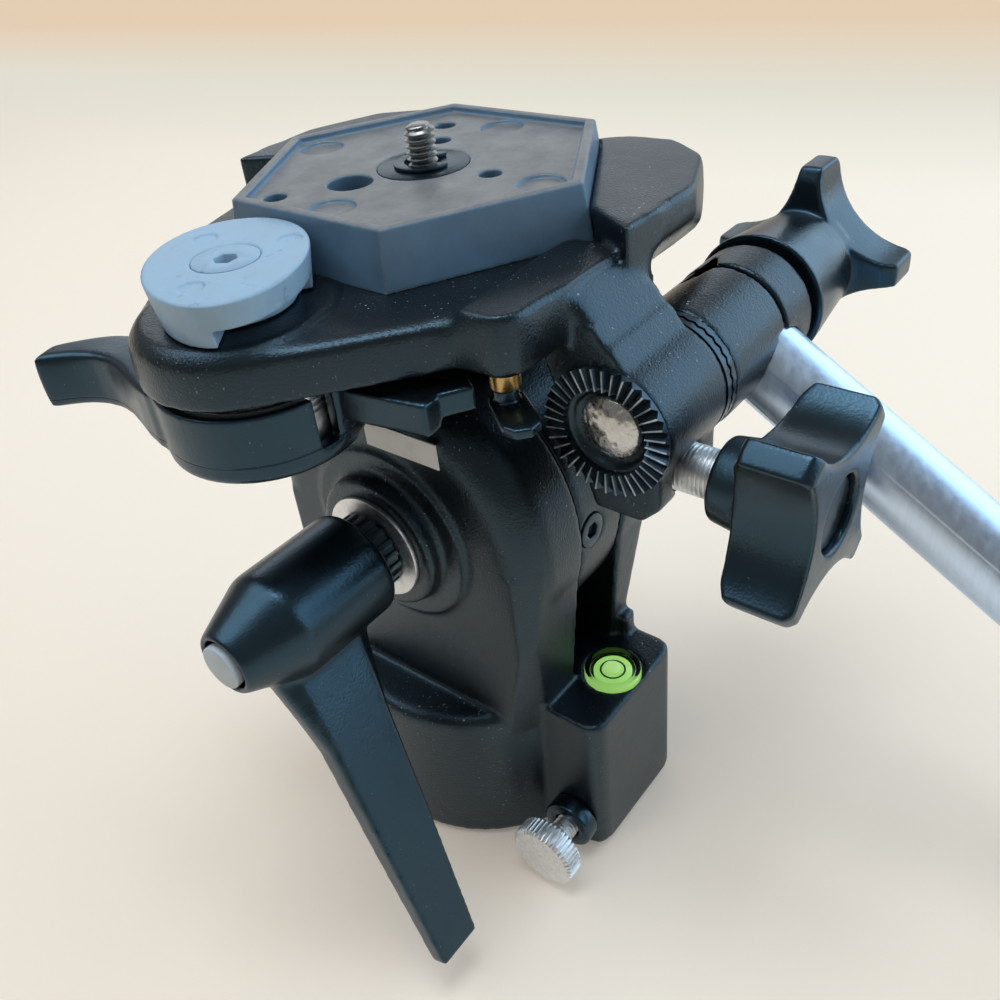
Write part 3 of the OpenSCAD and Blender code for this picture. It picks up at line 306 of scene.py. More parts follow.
def moulded(name, colour, rough=(0.23, 0.36), grain=1.0, parting=0.0):
    """Moulded plastic with a leathery grain, rubbed edges and, if its height is given, a parting line."""
    f = Finish(name, colour, rough[0])
    # Blue tint of the plastic's reflections: a painted sky reflection
    f.painted_reflection_tint((0.38, 0.72, 1.0), 1.0)
    cloud = f.noise(80, 3)
    base = f.mix(f.span(cloud, 0.3, 0.7), lighter(colour, 0.85), lighter(colour, 1.3))
    rubbed = f.math("MULTIPLY", f.edges(0.53, 0.60), f.span(f.noise(300, 3), 0.4, 0.65, 0.0, 0.6))
    base = f.mix(rubbed, base, lighter(colour, 9))
    lint = f.span(f.noise(1600, 1, 0.3), 0.79, 0.81, 0.0, 0.4)
    f.colour(f.mix(lint, base, (0.35, 0.35, 0.34)))
    f.rough(f.span(cloud, 0.3, 0.7, *rough))
    skin = f.bump(f.cells(1700), 0.10 * grain, 0.00018, f.bump(f.noise(900, 3), 0.14 * grain, 0.0002))
    if parting:
        split = f.add("ShaderNodeSeparateXYZ")
        f.join(f.object, split.inputs["Vector"])
        away = f.math("ABSOLUTE", f.math("SUBTRACT", split.outputs["Z"], parting), 0)
        skin = f.bump(f.span(away, 0.00004, 0.0002), 0.7, 0.0003, skin)
    f.normal(skin)
    return f.material


def plate_finish(colour):
    """Charcoal plate whose sides carry a painted blue sky reflection in their colour, and whose recessed top
    is paler, scuffed and scratched.
    """
    f = Finish("charcoal_plate", colour, 0.42)
    top = f.span(f.up_facing(), 0.75, 0.97)
    cloud = f.noise(70, 4, 0.6)
    # The sides take the plate's colour, whose blue is a painted sky reflection
    side = f.mix(f.span(cloud, 0.3, 0.7), lighter(colour, 0.82), lighter(colour, 1.2))
    scuffed = f.mix(f.span(f.noise(160, 5, 0.7), 0.3, 0.75), (0.13, 0.135, 0.14), (0.235, 0.225, 0.215))
    base = f.mix(top, side, scuffed)
    worn = f.math("MULTIPLY", f.edges(0.515, 0.55), f.span(f.noise(260, 4, 0.7), 0.36, 0.6))
    base = f.mix(worn, base, (0.26, 0.27, 0.28))
    scratches = f.span(f.noise(300, 2, 0.6, f.turned((1, 14, 1), (0, 0, 0.7))), 0.69, 0.74, 0.0, 0.45)
    f.colour(f.mix(f.math("MULTIPLY", scratches, top), base, (0.34, 0.33, 0.32)))
    f.rough(f.span(cloud, 0.3, 0.75, 0.36, 0.54))
    f.normal(f.bump(f.noise(1300, 3), 0.16, 0.00016))
    return f.material


def cam_finish(colour):
    """Pale grey paint, dirty in random spots, with painted shade in its hollows and rubbed at the rim."""
    f = Finish("cam_paint", colour, 0.36)
    cloud = f.noise(120, 4, 0.6)
    base = f.mix(f.span(cloud, 0.3, 0.75), lighter(colour, 0.9), lighter(colour, 1.08))
    dirt = f.span(f.noise(330, 5, 0.75), 0.60, 0.72, 0.0, 0.5)
    base = f.mix(dirt, base, (0.10, 0.10, 0.095))
    # Darker in concave hollows: painted shade
    hollow = f.span(f.add("ShaderNodeNewGeometry").outputs["Pointiness"], 0.47, 0.40, 0.0, 0.75)
    base = f.mix(hollow, base, (0.05, 0.05, 0.05))
    rubbed = f.math("MULTIPLY", f.edges(0.54, 0.6), f.span(f.noise(500, 4, 0.7), 0.45, 0.6, 0.0, 0.8))
    f.colour(f.mix(rubbed, base, (0.48, 0.49, 0.50)))
    f.rough(f.span(cloud, 0.3, 0.7, 0.32, 0.48))
    f.normal(f.bump(f.noise(1400, 3), 0.12, 0.00014))
    return f.material


def metal(name, colour, rough, stretch=(1, 1, 1), tarnish=(0.50, 0.48, 0.42),
          hammered=0.0, lined=0.12):
    """Plated or drawn metal with fine machining lines and a little tarnish."""
    f = Finish(name, colour, rough, 1.0)
    lines = f.noise(900, 3, 0.6, f.turned(stretch))
    spots = f.span(f.noise(240, 5, 0.7), 0.6, 0.78, 0.0, 0.5)
    base = f.mix(f.span(lines, 0.3, 0.7), lighter(colour, 0.86), lighter(colour, 1.08))
    f.colour(f.mix(spots, base, tarnish))
    f.rough(f.span(f.math("ADD", lines, spots), 0.3, 1.2, rough * 0.75, rough * 1.6))
    fine = f.bump(lines, lined, 0.00008)
    f.normal(f.bump(f.noise(520, 1), hammered, 0.0005, fine) if hammered else fine)
    return f.material


def tube_finish(colour, direction):
    """Drawn aluminium, tinted blue as a painted sky reflection, with lines along the tube."""
    f = Finish("drawn_aluminium", colour, 0.3, 1.0)
    turn = Vector((0, 0, 1)).rotation_difference(direction).inverted().to_euler()
    lines = f.noise(700, 3, 0.6, f.turned((1, 1, 0.02), turn))
    haze = f.noise(35, 3)
    base = f.mix(f.span(lines, 0.3, 0.7), lighter(colour, 0.9), lighter(colour, 1.05))
    f.colour(f.mix(f.span(haze, 0.5, 0.75, 0.0, 0.25), base, (0.6, 0.61, 0.62)))
    f.rough(f.span(lines, 0.25, 0.75, 0.3, 0.44))
    f.normal(f.bump(lines, 0.04, 0.00003))
    return f.material


def rubber_finish():
    """Dull ribbed rubber with chalky high spots."""
    f = Finish("grip_rubber", (0.016, 0.016, 0.016), 0.7)
    cloud = f.noise(60, 4, 0.6)
    base = f.mix(f.span(cloud, 0.3, 0.7), (0.012, 0.012, 0.012), (0.026, 0.026, 0.025))
    f.colour(f.mix(f.math("MULTIPLY", f.edges(0.52, 0.6), f.span(cloud, 0.4, 0.7)), base, (0.07, 0.07, 0.07)))
    f.rough(f.span(cloud, 0.3, 0.7, 0.6, 0.82))
    f.normal(f.bump(f.cells(1500), 0.2, 0.0002))
    return f.material


def clear_finish():
    """Clear acrylic with faint scratches."""
    f = Finish("clear_acrylic", (0.96, 0.99, 0.94), 0.06)
    f.shader.inputs["Transmission Weight"].default_value = 1.0
    f.shader.inputs["IOR"].default_value = 1.49
    f.rough(f.span(f.noise(600, 4, 0.7, f.turned((1, 9, 1))), 0.55, 0.75, 0.03, 0.16))
    lit = f.add("ShaderNodeMixShader")
    f.join(f.add("ShaderNodeLightPath").outputs["Is Shadow Ray"], lit.inputs["Fac"])
    f.join(f.shader.outputs["BSDF"], lit.inputs[1])
    f.join(f.add("ShaderNodeBsdfTransparent").outputs["BSDF"], lit.inputs[2])
    f.join(lit.outputs["Shader"], f.tree.nodes["Material Output"].inputs["Surface"])
    return f.material


def fluid_finish(name, colour, painted_glow):
    """Bright level fluid with a painted glow, strong when seen straight or through glass and faint after a
    bounce.
    """
    f = Finish(name, colour, 0.12)
    swirl = f.span(f.noise(140, 2), 0.3, 0.7)
    f.colour(f.mix(swirl, lighter(colour, 0.92), lighter(colour, 1.08)))
    f.shader.inputs["Emission Color"].default_value = (*painted_glow, 1)
    # Painted glow: strong on direct and through-glass views, faint after a bounce
    path = f.add("ShaderNodeLightPath").outputs
    bounced = f.math("ADD", path["Glossy Depth"], path["Diffuse Depth"])
    f.join(f.span(bounced, 0, 1, 0.55, 0.03), f.shader.inputs["Emission Strength"])
    return f.material


def label_finish():
    """Blank paper label, a little soiled."""
    f = Finish("paper_label", (0.90, 0.90, 0.88), 0.55)
    soil = f.span(f.noise(180, 5, 0.7), 0.52, 0.75, 0.0, 0.55)
    f.colour(f.mix(soil, (0.92, 0.92, 0.90), (0.62, 0.60, 0.55)))
    f.rough(f.span(soil, 0.0, 0.5, 0.5, 0.65))
    f.normal(f.bump(f.noise(1800, 3), 0.1, 0.0001))
    return f.material


FINISHES = {}


def build_finishes(colours, tube_direction):
    """Fills FINISHES with a material for each slot of the record and for each special finish."""
    paint, plastic = tuple(colours.paint), tuple(colours.plastic)
    steel, brass = tuple(colours.steel), tuple(colours.brass)
    FINISHES.update({
        "black_paint": painted("black_paint", paint, (0.075, 0.078, 0.082)),
        "black_plastic": moulded("black_plastic", plastic),
        "plate_charcoal": plate_finish(tuple(colours.plate)),
        "cam_grey": cam_finish(tuple(colours.cam)),
        "steel": metal("plated_steel", steel, 0.3),
        "bright_steel": metal(
            "bright_steel", (0.80, 0.82, 0.84), 0.4, tarnish=(0.66, 0.67, 0.66), lined=0.04),
        "hammered_steel": metal("hammered_steel", lighter(steel, 0.85), 0.28, hammered=0.7),
        "dull_steel": metal("dull_steel", lighter(steel, 0.5), 0.34, tarnish=(0.16, 0.16, 0.15)),
        "lever_plastic": moulded("lever_plastic", plastic, parting=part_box("qr_lever")[0].z + 4.2 * MM),
        # Grey for the near rosette's tooth crests: a painted highlight
        "crest_highlight_plastic": moulded("crest_highlight_plastic", (0.22, 0.23, 0.24), (0.25, 0.4), 0.5),
        "shiny_plastic": moulded("shiny_plastic", plastic, (0.2, 0.3), 0.5),
        "tube_aluminium": tube_finish(tuple(colours.tube), tube_direction),
        "brass": metal("brass", brass, 0.32, (1, 1, 12), (0.20, 0.13, 0.05)),
        "bronze": metal("bearing_bronze", (0.42, 0.28, 0.13), 0.38, tarnish=(0.12, 0.08, 0.04)),
        "damper_grey": moulded("damper_grey", (0.18, 0.19, 0.21), (0.4, 0.55)),
        "grip_rubber": rubber_finish(),
        "clear": clear_finish(),
        "level_green": fluid_finish("level_fluid", tuple(colours.fluid), (0.46, 0.90, 0.24)),
        "label_white": label_finish(),
        "cap_grey": moulded("cap_grey", (0.46, 0.49, 0.52), (0.3, 0.45), 0.5),
        "level_ring": moulded("level_ring", (0.012, 0.014, 0.008), (0.3, 0.4)),
        # The bubble's paler green and its glow are painted light
        "bubble": fluid_finish("level_bubble", (0.74, 0.92, 0.34), (0.56, 0.93, 0.32)),
    })


# Mesh tools


def as_mesh(name, bm):
    mesh = bpy.data.meshes.new(name)
    bm.to_mesh(mesh)
    bm.free()
    return mesh


def shown(name, mesh, body, slot, finish=None, smooth=32):
    """Makes an object of a mesh, with the finish of its slot, and hangs it from its body."""
    mesh.shade_smooth()
    mesh.set_sharp_from_angle(angle=math.radians(smooth))
    mesh.materials.clear()
    mesh.materials.append(FINISHES[finish or slot])
    piece = bpy.data.objects.new(name, mesh)
    bpy.context.scene.collection.objects.link(piece)
    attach(piece, body)
    return piece


def adopted(name, mesh, node, finish=None, smooth=32):
    """Shows a mesh in place of a node."""
    piece = shown(name, mesh, BODY_OF[node], SLOT_OF[node], finish, smooth)
    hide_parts(node)
    return piece


def finished(name, bm, node, finish=None, smooth=32):
    """Shows a bmesh in place of a node."""
    return adopted(name, as_mesh(name, bm), node, finish, smooth)


def added(name, bm, body, slot, finish=None):
    """Shows a bmesh that stands for no node of its own."""
    return shown(name, as_mesh(name, bm), body, slot, finish)


def dress(*nodes):
    """Gives solids that stay as they are their finish."""
    for name in nodes:
        materials = NODES[name].data.materials
        materials.clear()
        materials.append(FINISHES[SLOT_OF[name]])


def round_edges(bm, width, segments=3):
    """Bevels the sharp edges."""
    edges = [e for e in bm.edges if len(e.link_faces) == 2 and e.calc_face_angle(0) > SHARP]
    if edges:
        bmesh.ops.bevel(
            bm, geom=edges, offset=width, offset_type="OFFSET", segments=segments,
            profile=0.5, affect="EDGES", clamp_overlap=True, material=-1)


def place(bm, matrix):
    bmesh.ops.transform(bm, matrix=matrix, verts=bm.verts)


def lathe(profile, closed=False, steps=96, edge=0.0):
    """Spins a profile of (radius, height) points about Z."""
    bm = bmesh.new()
    verts = [bm.verts.new((r, 0, z)) for r, z in profile]
    pairs = list(zip(verts, verts[1:])) + ([(verts[-1], verts[0])] if closed else [])
    edges = [bm.edges.new(pair) for pair in pairs]
    bmesh.ops.spin(
        bm, geom=verts + edges, cent=(0, 0, 0), axis=(0, 0, 1), angle=TURN, steps=steps, use_merge=True)
    bmesh.ops.remove_doubles(bm, verts=bm.verts, dist=MERGE / 10)
    bmesh.ops.recalc_face_normals(bm, faces=bm.faces)
    if edge:
        round_edges(bm, edge)
    return bm


def helix(profile, pitch, turns, steps=40):
    """Sweeps a profile of (radius, height) points about Z and up by the pitch on each turn."""
    bm = bmesh.new()
    verts = [bm.verts.new((r, 0, z)) for r, z in profile]
    edges = [bm.edges.new(pair) for pair in zip(verts, verts[1:])]
    bmesh.ops.spin(
        bm, geom=verts + edges, cent=(0, 0, 0), axis=(0, 0, 1), dvec=(0, 0, pitch / steps),
        angle=TURN * turns, steps=steps * turns)
    return bm


def close_holes(bm):
    """Fills open ends and turns all faces outward."""
    bmesh.ops.holes_fill(bm, edges=[e for e in bm.edges if e.is_boundary], sides=0)
    bmesh.ops.recalc_face_normals(bm, faces=bm.faces)


def threaded(radius, pitch, low, high, tip=0.0):
    """Threaded rod along Z with flat ends, and its last thread run out at the tip."""
    root = radius - THREAD_DEPTH * pitch
    turns = math.ceil((high - low) / pitch) + 2
    start = low - pitch
    bm = helix([(root, start), (radius, start + 0.38 * pitch), (radius, start + 0.52 * pitch),
                (root, start + 0.9 * pitch), (root, start + pitch)], pitch, turns)
    bmesh.ops.remove_doubles(bm, verts=bm.verts, dist=pitch / 100)
    for height, normal in ((low, (0, 0, -1)), (high, (0, 0, 1))):
        bmesh.ops.bisect_plane(
            bm, geom=bm.verts[:] + bm.edges[:] + bm.faces[:], plane_co=(0, 0, height),
            plane_no=normal, clear_outer=True)
    for v in bm.verts:
        if tip and v.co.z > high - tip:
            taper = 1 - 0.28 * (v.co.z - high + tip) / tip
            v.co.x *= taper
            v.co.y *= taper
    close_holes(bm)
    return bm


def coil(radius, wire, low, high, turns):
    """Coil spring along Z with its wire between the two heights."""
    bm = bmesh.new()
    pitch = (high - low - 2 * wire) / turns
    bmesh.ops.create_circle(
        bm, segments=10, radius=wire,
        matrix=Matrix.Translation((radius, 0, low + wire)) @ Matrix.Rotation(math.radians(90), 4, "X"))
    steps = 28 * turns
    bmesh.ops.spin(
        bm, geom=bm.verts[:] + bm.edges[:], cent=(0, 0, 0), axis=(0, 0, 1),
        dvec=(0, 0, pitch * turns / steps), angle=TURN * turns, steps=steps)
    close_holes(bm)
    return bm


def joined(bm, other):
    """Adds a second bmesh to the first."""
    mesh = as_mesh("joining", other)
    bm.from_mesh(mesh)
    bpy.data.meshes.remove(mesh)


def merged(node):
    """A copy of a solid's mesh with its points merged."""
    bm = bmesh.new()
    bm.from_mesh(NODES[node].data)
    bmesh.ops.remove_doubles(bm, verts=bm.verts, dist=MERGE)
    return bm


def copied(node):
    """A merged copy of a solid's mesh, with its flat faces joined."""
    bm = merged(node)
    bmesh.ops.dissolve_limit(bm, angle_limit=math.radians(0.5), verts=bm.verts, edges=bm.edges)
    return bm


def broken(name, node, width, segments=2, finish=None):
    """A solid with its sharp edges broken."""
    bm = copied(node)
    round_edges(bm, width, segments)
    return finished(name, bm, node, finish)


def softened(name, node, voxel, rounds, most, finish=None):
    """A solid with its inner and outer corners run into each other, as a casting's are."""
    mesh = as_mesh(name, merged(node))
    rough_piece = bpy.data.objects.new(name + "_rough", mesh)
    bpy.context.scene.collection.objects.link(rough_piece)
    remesh = rough_piece.modifiers.new("remesh", "REMESH")
    remesh.mode = "VOXEL"
    remesh.voxel_size = voxel
    smooth = rough_piece.modifiers.new("smooth", "SMOOTH")
    smooth.factor = 0.5
    smooth.iterations = rounds
    faces = len(rough_piece.evaluated_get(bpy.context.evaluated_depsgraph_get()).data.polygons)
    if 2 * faces > most:
        thin = rough_piece.modifiers.new("thin", "DECIMATE")
        thin.ratio = most / (2 * faces)
    result = bpy.data.meshes.new_from_object(
        rough_piece.evaluated_get(bpy.context.evaluated_depsgraph_get()))
    result.name = name
    bpy.data.objects.remove(rough_piece)
    bpy.data.meshes.remove(mesh)
    return adopted(name, result, node, finish, smooth=50)


def round_more(piece, rounds, share, upright=False):
    """Smooths a softened piece by each point's share, from 0 to 1, or only its upright corners."""
    group = piece.vertex_groups.new(name="rounded")
    for v in piece.data.vertices:
        amount = share(v.co)
        if amount > 0:
            group.add([v.index], min(amount, 1.0), "REPLACE")
    smooth = piece.modifiers.new("smooth", "SMOOTH")
    smooth.factor = 0.5
    smooth.iterations = rounds
    smooth.use_z = not upright
    smooth.vertex_group = group.name
    old = piece.data
    piece.data = bpy.data.meshes.new_from_object(
        piece.evaluated_get(bpy.context.evaluated_depsgraph_get()))
    piece.data.name = piece.name
    piece.modifiers.clear()
    piece.vertex_groups.clear()
    bpy.data.meshes.remove(old)


def middle(node):
    """Middle and half size of a node's box."""
    low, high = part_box(node)
    return (low + high) / 2, (high - low) / 2


# Pieces


class HEAD_OT_castings(Operator):
    """Make the housing, the tilting castings and the handle's clamp"""

    bl_idname = "head.castings"
    bl_label = "Castings"

    def execute(self, context):
        s = context.scene.head_sizes
        clamp_rounds = 3
        for name, node, rounds in (("cast_housing", "housing", s.cast_rounds),
                                   ("cast_platform", "platform", s.cast_rounds),
                                   ("cast_drum", "tilt_drum", s.cast_rounds),
                                   ("cast_clamp_inner", "clamp_inner", clamp_rounds),
                                   ("cast_clamp_outer", "clamp_outer", clamp_rounds)):
            piece = softened(name, node, s.cast_voxel, rounds, s.most_triangles)
            if node == "platform":
                self.platform(piece, s)
        return {"FINISHED"}

    def platform(self, piece, s):
        """Rounds the deck's upper edge and the jaws' upright corners."""
        deck_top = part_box("hex_plate")[0].z
        lip_low, lip_high = deck_top - 5 * MM, deck_top + 0.3 * MM
        round_more(piece, s.lip_rounds, lambda co: lip_low < co.z < lip_high)
        plate = middle("hex_plate")[0].xy
        corners = [plate + Vector((x * MM, y * MM * side)) for x, y in JAW_CORNERS for side in (-1, 1)]
        corners.append(middle("catch_pin")[0].xy)
        reach, fade, jaw_low = 12.8 * MM, 4 * MM, deck_top - 10 * MM

        def near_corner(co):
            if co.z <= jaw_low:
                return 0
            return (reach - min((co.xy - corner).length for corner in corners)) / fade

        round_more(piece, s.corner_rounds, near_corner, upright=True)


class HEAD_OT_mouldings(Operator):
    """Make the knobs and the levers"""

    bl_idname = "head.mouldings"
    bl_label = "Knobs and levers"

    def execute(self, context):
        s = context.scene.head_sizes
        moulding = (s.moulded_voxel, s.moulded_rounds, s.most_triangles)
        softened("moulded_star_knob", "star_knob", *moulding)
        softened("moulded_drag_knob", "drag_knob", *moulding)
        lever = softened("moulded_lock_lever", "lock_lever", *moulding)
        root, root_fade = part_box("lock_lever")[1].z - 60 * MM, 25 * MM
        round_more(lever, 50, lambda co: (co.z - root) / root_fade)
        lever = softened("moulded_release_lever", "qr_lever", *moulding, "lever_plastic")
        axis = middle("qr_shaft")[0]
        arm, arm_fade = axis.y + 12 * MM, 14 * MM
        round_more(lever, 60, lambda co: (co.y - arm) / arm_fade)
        tip, tip_fade = axis.y + 36 * MM, 8 * MM
        round_more(lever, 450, lambda co: (co.y - tip) / tip_fade, upright=True)
        broken("moulded_catch_tab", "catch_tab", 0.5 * MM, 3)
        for name, node, clear in (("star_end_cap", "star_cap", (1, 0.95, 0.95)),
                                  ("lever_end_cap", "lock_cap", (1, 0.87, 0.87)),
                                  ("drag_end_cap", "drag_cap", (0.95, 1, 0.95))):
            bm = copied(node)
            round_edges(bm, s.edge_break)
            bmesh.ops.scale(bm, verts=bm.verts, vec=clear, space=Matrix.Translation(-middle(node)[0]))
            finished(name, bm, node)
        broken("splined_insert", "lock_insert", 0.2 * MM)
        return {"FINISHED"}


class HEAD_OT_plate(Operator):
    """Make the quick-release plate, its ring, the camera screw and its clip"""

    bl_idname = "head.plate"
    bl_label = "Quick-release plate"

    def execute(self, context):
        s = context.scene.head_sizes
        plate_rounds = 4
        softened("hexagon_plate", "hex_plate", s.moulded_voxel, plate_rounds, s.most_triangles)
        broken("plate_ring_finished", "plate_ring", s.edge_break)
        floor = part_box("plate_ring")[1].z
        centre = middle("camera_screw")[0]
        at = Matrix.Translation((centre.x, centre.y, 0))
        screw = self.camera_screw(floor, s.camera_pitch)
        place(screw, at)
        finished("camera_screw_finished", screw, "camera_screw", "dull_steel")
        clip = self.clip(floor)
        place(clip, at @ Matrix.Rotation(math.radians(-13), 4, "Z"))
        added("screw_clip", clip, "tilt_head", "black_plastic")
        return {"FINISHED"}

    def camera_screw(self, floor, pitch):
        """Screw whose thread stands as high above the plate's floor as in the photo."""
        low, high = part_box("camera_screw")
        half = middle("camera_screw")[1]
        radius = 3.175 * MM
        neck = radius - 0.5 * MM
        neck_top, head_top = floor - 0.9 * MM, low.z + 4 * MM
        screw = threaded(radius, pitch, floor - 1.0 * MM, high.z - 2.3 * MM, tip=1.1 * MM)
        joined(screw, lathe([(0, low.z), (half.x, low.z), (half.x, head_top), (neck, head_top),
                             (neck, neck_top), (0, neck_top)], edge=0.3 * MM))
        return screw

    def clip(self, floor):
        """Open ring that keeps the screw in the plate."""
        bm = bmesh.new()
        corners = ((3.9, 0.05), (6.2, 0.05), (6.2, 0.8), (3.9, 0.8))
        verts = [bm.verts.new((r * MM, 0, floor + z * MM)) for r, z in corners]
        edges = [bm.edges.new((verts[i], verts[(i + 1) % 4])) for i in range(4)]
        bmesh.ops.spin(
            bm, geom=verts + edges, cent=(0, 0, 0), axis=(0, 0, 1), angle=math.radians(290), steps=60)
        close_holes(bm)
        round_edges(bm, 0.15 * MM, 2)
        return bm


class HEAD_OT_release(Operator):
    """Make the quick-release cam, its screw and its washers"""

    bl_idname = "head.release"
    bl_label = "Quick release"

    def execute(self, context):
        s = context.scene.head_sizes
        cam = softened("release_cam", "qr_cam", 0.3 * MM, 6, s.most_triangles)
        centre, top = middle("qr_shaft")[0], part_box("qr_cam")[1].z
        away, radius, depth = 12.2 * MM, 2.3 * MM, 0.25 * MM
        marks = [centre.xy + away * Vector((math.cos(a), math.sin(a))) for a in MARK_ANGLES]
        for v in cam.data.vertices:
            if v.co.z > top - 0.4 * MM and any((v.co.xy - mark).length < radius for mark in marks):
                v.co.z -= depth
        broken("release_cam_screw", "cam_screw", 0.25 * MM)
        broken("release_washers", "lever_washers", 0.2 * MM, finish="bright_steel")
        return {"FINISHED"}


class HEAD_OT_joint(Operator):
    """Make the handle joint's rosettes, its bolt and its washer"""

    bl_idname = "head.joint"
    bl_label = "Handle joint"

    def execute(self, context):
        s = context.scene.head_sizes
        bore, open_depth, mated_depth = 8.8 * MM, 1.4 * MM, 0.45 * MM
        for name, node, turn, depth in (("near_teeth", "near_rosette", TO_MINUS_X, open_depth),
                                        ("far_teeth", "far_rosette", TO_X, mated_depth),
                                        ("clamp_teeth", "clamp_rosette", TO_MINUS_X, mated_depth)):
            low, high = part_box(node)
            centre, half = middle(node)
            back = low.x if turn == TO_X else high.x
            thick = high.x - low.x
            bm = self.teeth(half.y, bore, thick, depth, s.tooth_count)
            crests = [f.index for f in bm.faces if f.calc_center_median().z > thick - 0.12 * depth]
            skew = math.pi / s.tooth_count if node == "clamp_rosette" else 0
            at = Matrix.Translation((back, centre.y, centre.z))
            place(bm, at @ turn @ Matrix.Rotation(skew, 4, "Z"))
            piece = finished(name, bm, node, "shiny_plastic", smooth=20)
            # The near rosette's crests take a paler grey: a painted highlight
            if node == "near_rosette":
                piece.data.materials.append(FINISHES["crest_highlight_plastic"])
                for index in crests:
                    piece.data.polygons[index].material_index = 1
        broken("joint_bolt", "clamp_bolt", 0.3 * MM, 3, "hammered_steel")
        broken("joint_washer", "clamp_washer", s.edge_break)
        return {"FINISHED"}

    def teeth(self, radius, bore, height, depth, count):
        """Ring with sharp radial teeth on its upper face."""
        bm = bmesh.new()
        verts = [bm.verts.new((r, 0, z)) for r, z in
                 ((bore, 0), (radius, 0), (radius, height), (bore, height))]
        edges = [bm.edges.new((verts[i], verts[(i + 1) % 4])) for i in range(4)]
        steps = TOOTH_STEPS * count
        bmesh.ops.spin(
            bm, geom=verts + edges, cent=(0, 0, 0), axis=(0, 0, 1), angle=TURN, steps=steps, use_merge=True)
        bmesh.ops.recalc_face_normals(bm, faces=bm.faces)
        for v in bm.verts:
            if v.co.z > height / 2:
                along = round(math.atan2(v.co.y, v.co.x) / TURN * steps) % TOOTH_STEPS
                v.co.z -= depth * min(along, TOOTH_STEPS - along) / (TOOTH_STEPS / 2)
        bm.faces.index_update()
        return bm


class HEAD_OT_thumbscrew(Operator):
    """Make the pan lock's knurled thumbscrew and its boss"""

    bl_idname = "head.thumbscrew"
    bl_label = "Pan lock thumbscrew"

    def execute(self, context):
        s = context.scene.head_sizes
        low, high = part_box("pan_screw")
        centre, half = middle("pan_screw")
        head, shank = 5.5 * MM, 3 * MM
        bm = self.knurled(half.y, head, s.knurl_count)
        joined(bm, threaded(shank, s.stud_pitch, -(high.x - low.x - head), 0.2 * MM))
        place(bm, Matrix.Translation((low.x + head, centre.y, centre.z)) @ TO_MINUS_X)
        finished("pan_thumbscrew", bm, "pan_screw", "bright_steel")
        broken("pan_screw_boss", "pan_boss", 0.7 * MM, 3)
        return {"FINISHED"}

    def knurled(self, radius, height, count):
        """Disc along Z with straight knurls around it and broken edges."""
        bm = bmesh.new()
        under, over, grooved = radius - 0.8 * MM, radius - 1.0 * MM, 0.94
        ring = bmesh.ops.create_circle(bm, cap_ends=False, segments=4 * count, radius=under)["verts"]
        edges = list({e for v in ring for e in v.link_edges})
        for lift, scale, groove in ((0.7, radius / under, grooved), (height / MM - 1.5, 1.0, 1.0),
                                    (0.8, over / radius, 1 / grooved)):
            out = bmesh.ops.extrude_edge_only(bm, edges=edges)["geom"]
            ring = [g for g in out if isinstance(g, bmesh.types.BMVert)]
            edges = [g for g in out if isinstance(g, bmesh.types.BMEdge)]
            bmesh.ops.translate(bm, verts=ring, vec=(0, 0, lift * MM))
            bmesh.ops.scale(bm, verts=ring, vec=(scale, scale, 1))
            hollow = [v for v in ring if round(math.atan2(v.co.y, v.co.x) / TURN * 4 * count) % 4 in (1, 2)]
            bmesh.ops.scale(bm, verts=hollow, vec=(groove, groove, 1))
        close_holes(bm)
        return bm


class HEAD_OT_level(Operator):
    """Make the bullseye level"""

    bl_idname = "head.level"
    bl_label = "Bullseye level"

    def execute(self, context):
        low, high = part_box("level_vial")
        centre, half = middle("level_vial")
        fluid_low, fluid_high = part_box("level_fluid")
        inner = (fluid_high.x - fluid_low.x) / 2
        at = Matrix.Translation((centre.x, centre.y, 0))
        r, wall = half.x, 1.2 * MM
        roof = high.z - wall
        vial = lathe([(0, low.z), (r, low.z), (r, high.z), (r - 0.9 * MM, high.z),
                      (r - 1.6 * MM, high.z - 0.35 * MM), (0, high.z - 0.1 * MM), (0, roof), (r - wall, roof),
                      (r - wall, low.z + wall), (0, low.z + wall)], edge=0.25 * MM)
        place(vial, at)
        finished("level_vial_finished", vial, "level_vial")
        disc, deep = 0.84 * inner, fluid_high.z - 0.5 * MM
        fluid = lathe([(0, fluid_low.z), (disc, fluid_low.z), (disc, deep), (0, deep)], edge=0.2 * MM)
        place(fluid, at)
        finished("level_fluid_finished", fluid, "level_fluid")
        top = fluid_high.z - 0.45 * MM
        bottom, inside, outside = top - 0.2 * MM, 2.75 * MM, 3.25 * MM
        ring = lathe(
            [(inside, bottom), (outside, bottom), (outside, top), (inside, top)], closed=True, steps=64)
        place(ring, at)
        added("level_ring", ring, "body", "black_plastic", "level_ring")
        # Flattened bubble, shown in a paler green with a painted glow
        bubble = bmesh.new()
        bmesh.ops.create_uvsphere(bubble, u_segments=40, v_segments=20, radius=2.3 * MM)
        place(bubble, Matrix.Translation((centre.x + 0.5 * MM, centre.y + 0.6 * MM, top - 0.15 * MM))
              @ Matrix.Diagonal((1, 1, 0.2, 1)))
        added("level_bubble", bubble, "body", "level_green", "bubble")
        return {"FINISHED"}


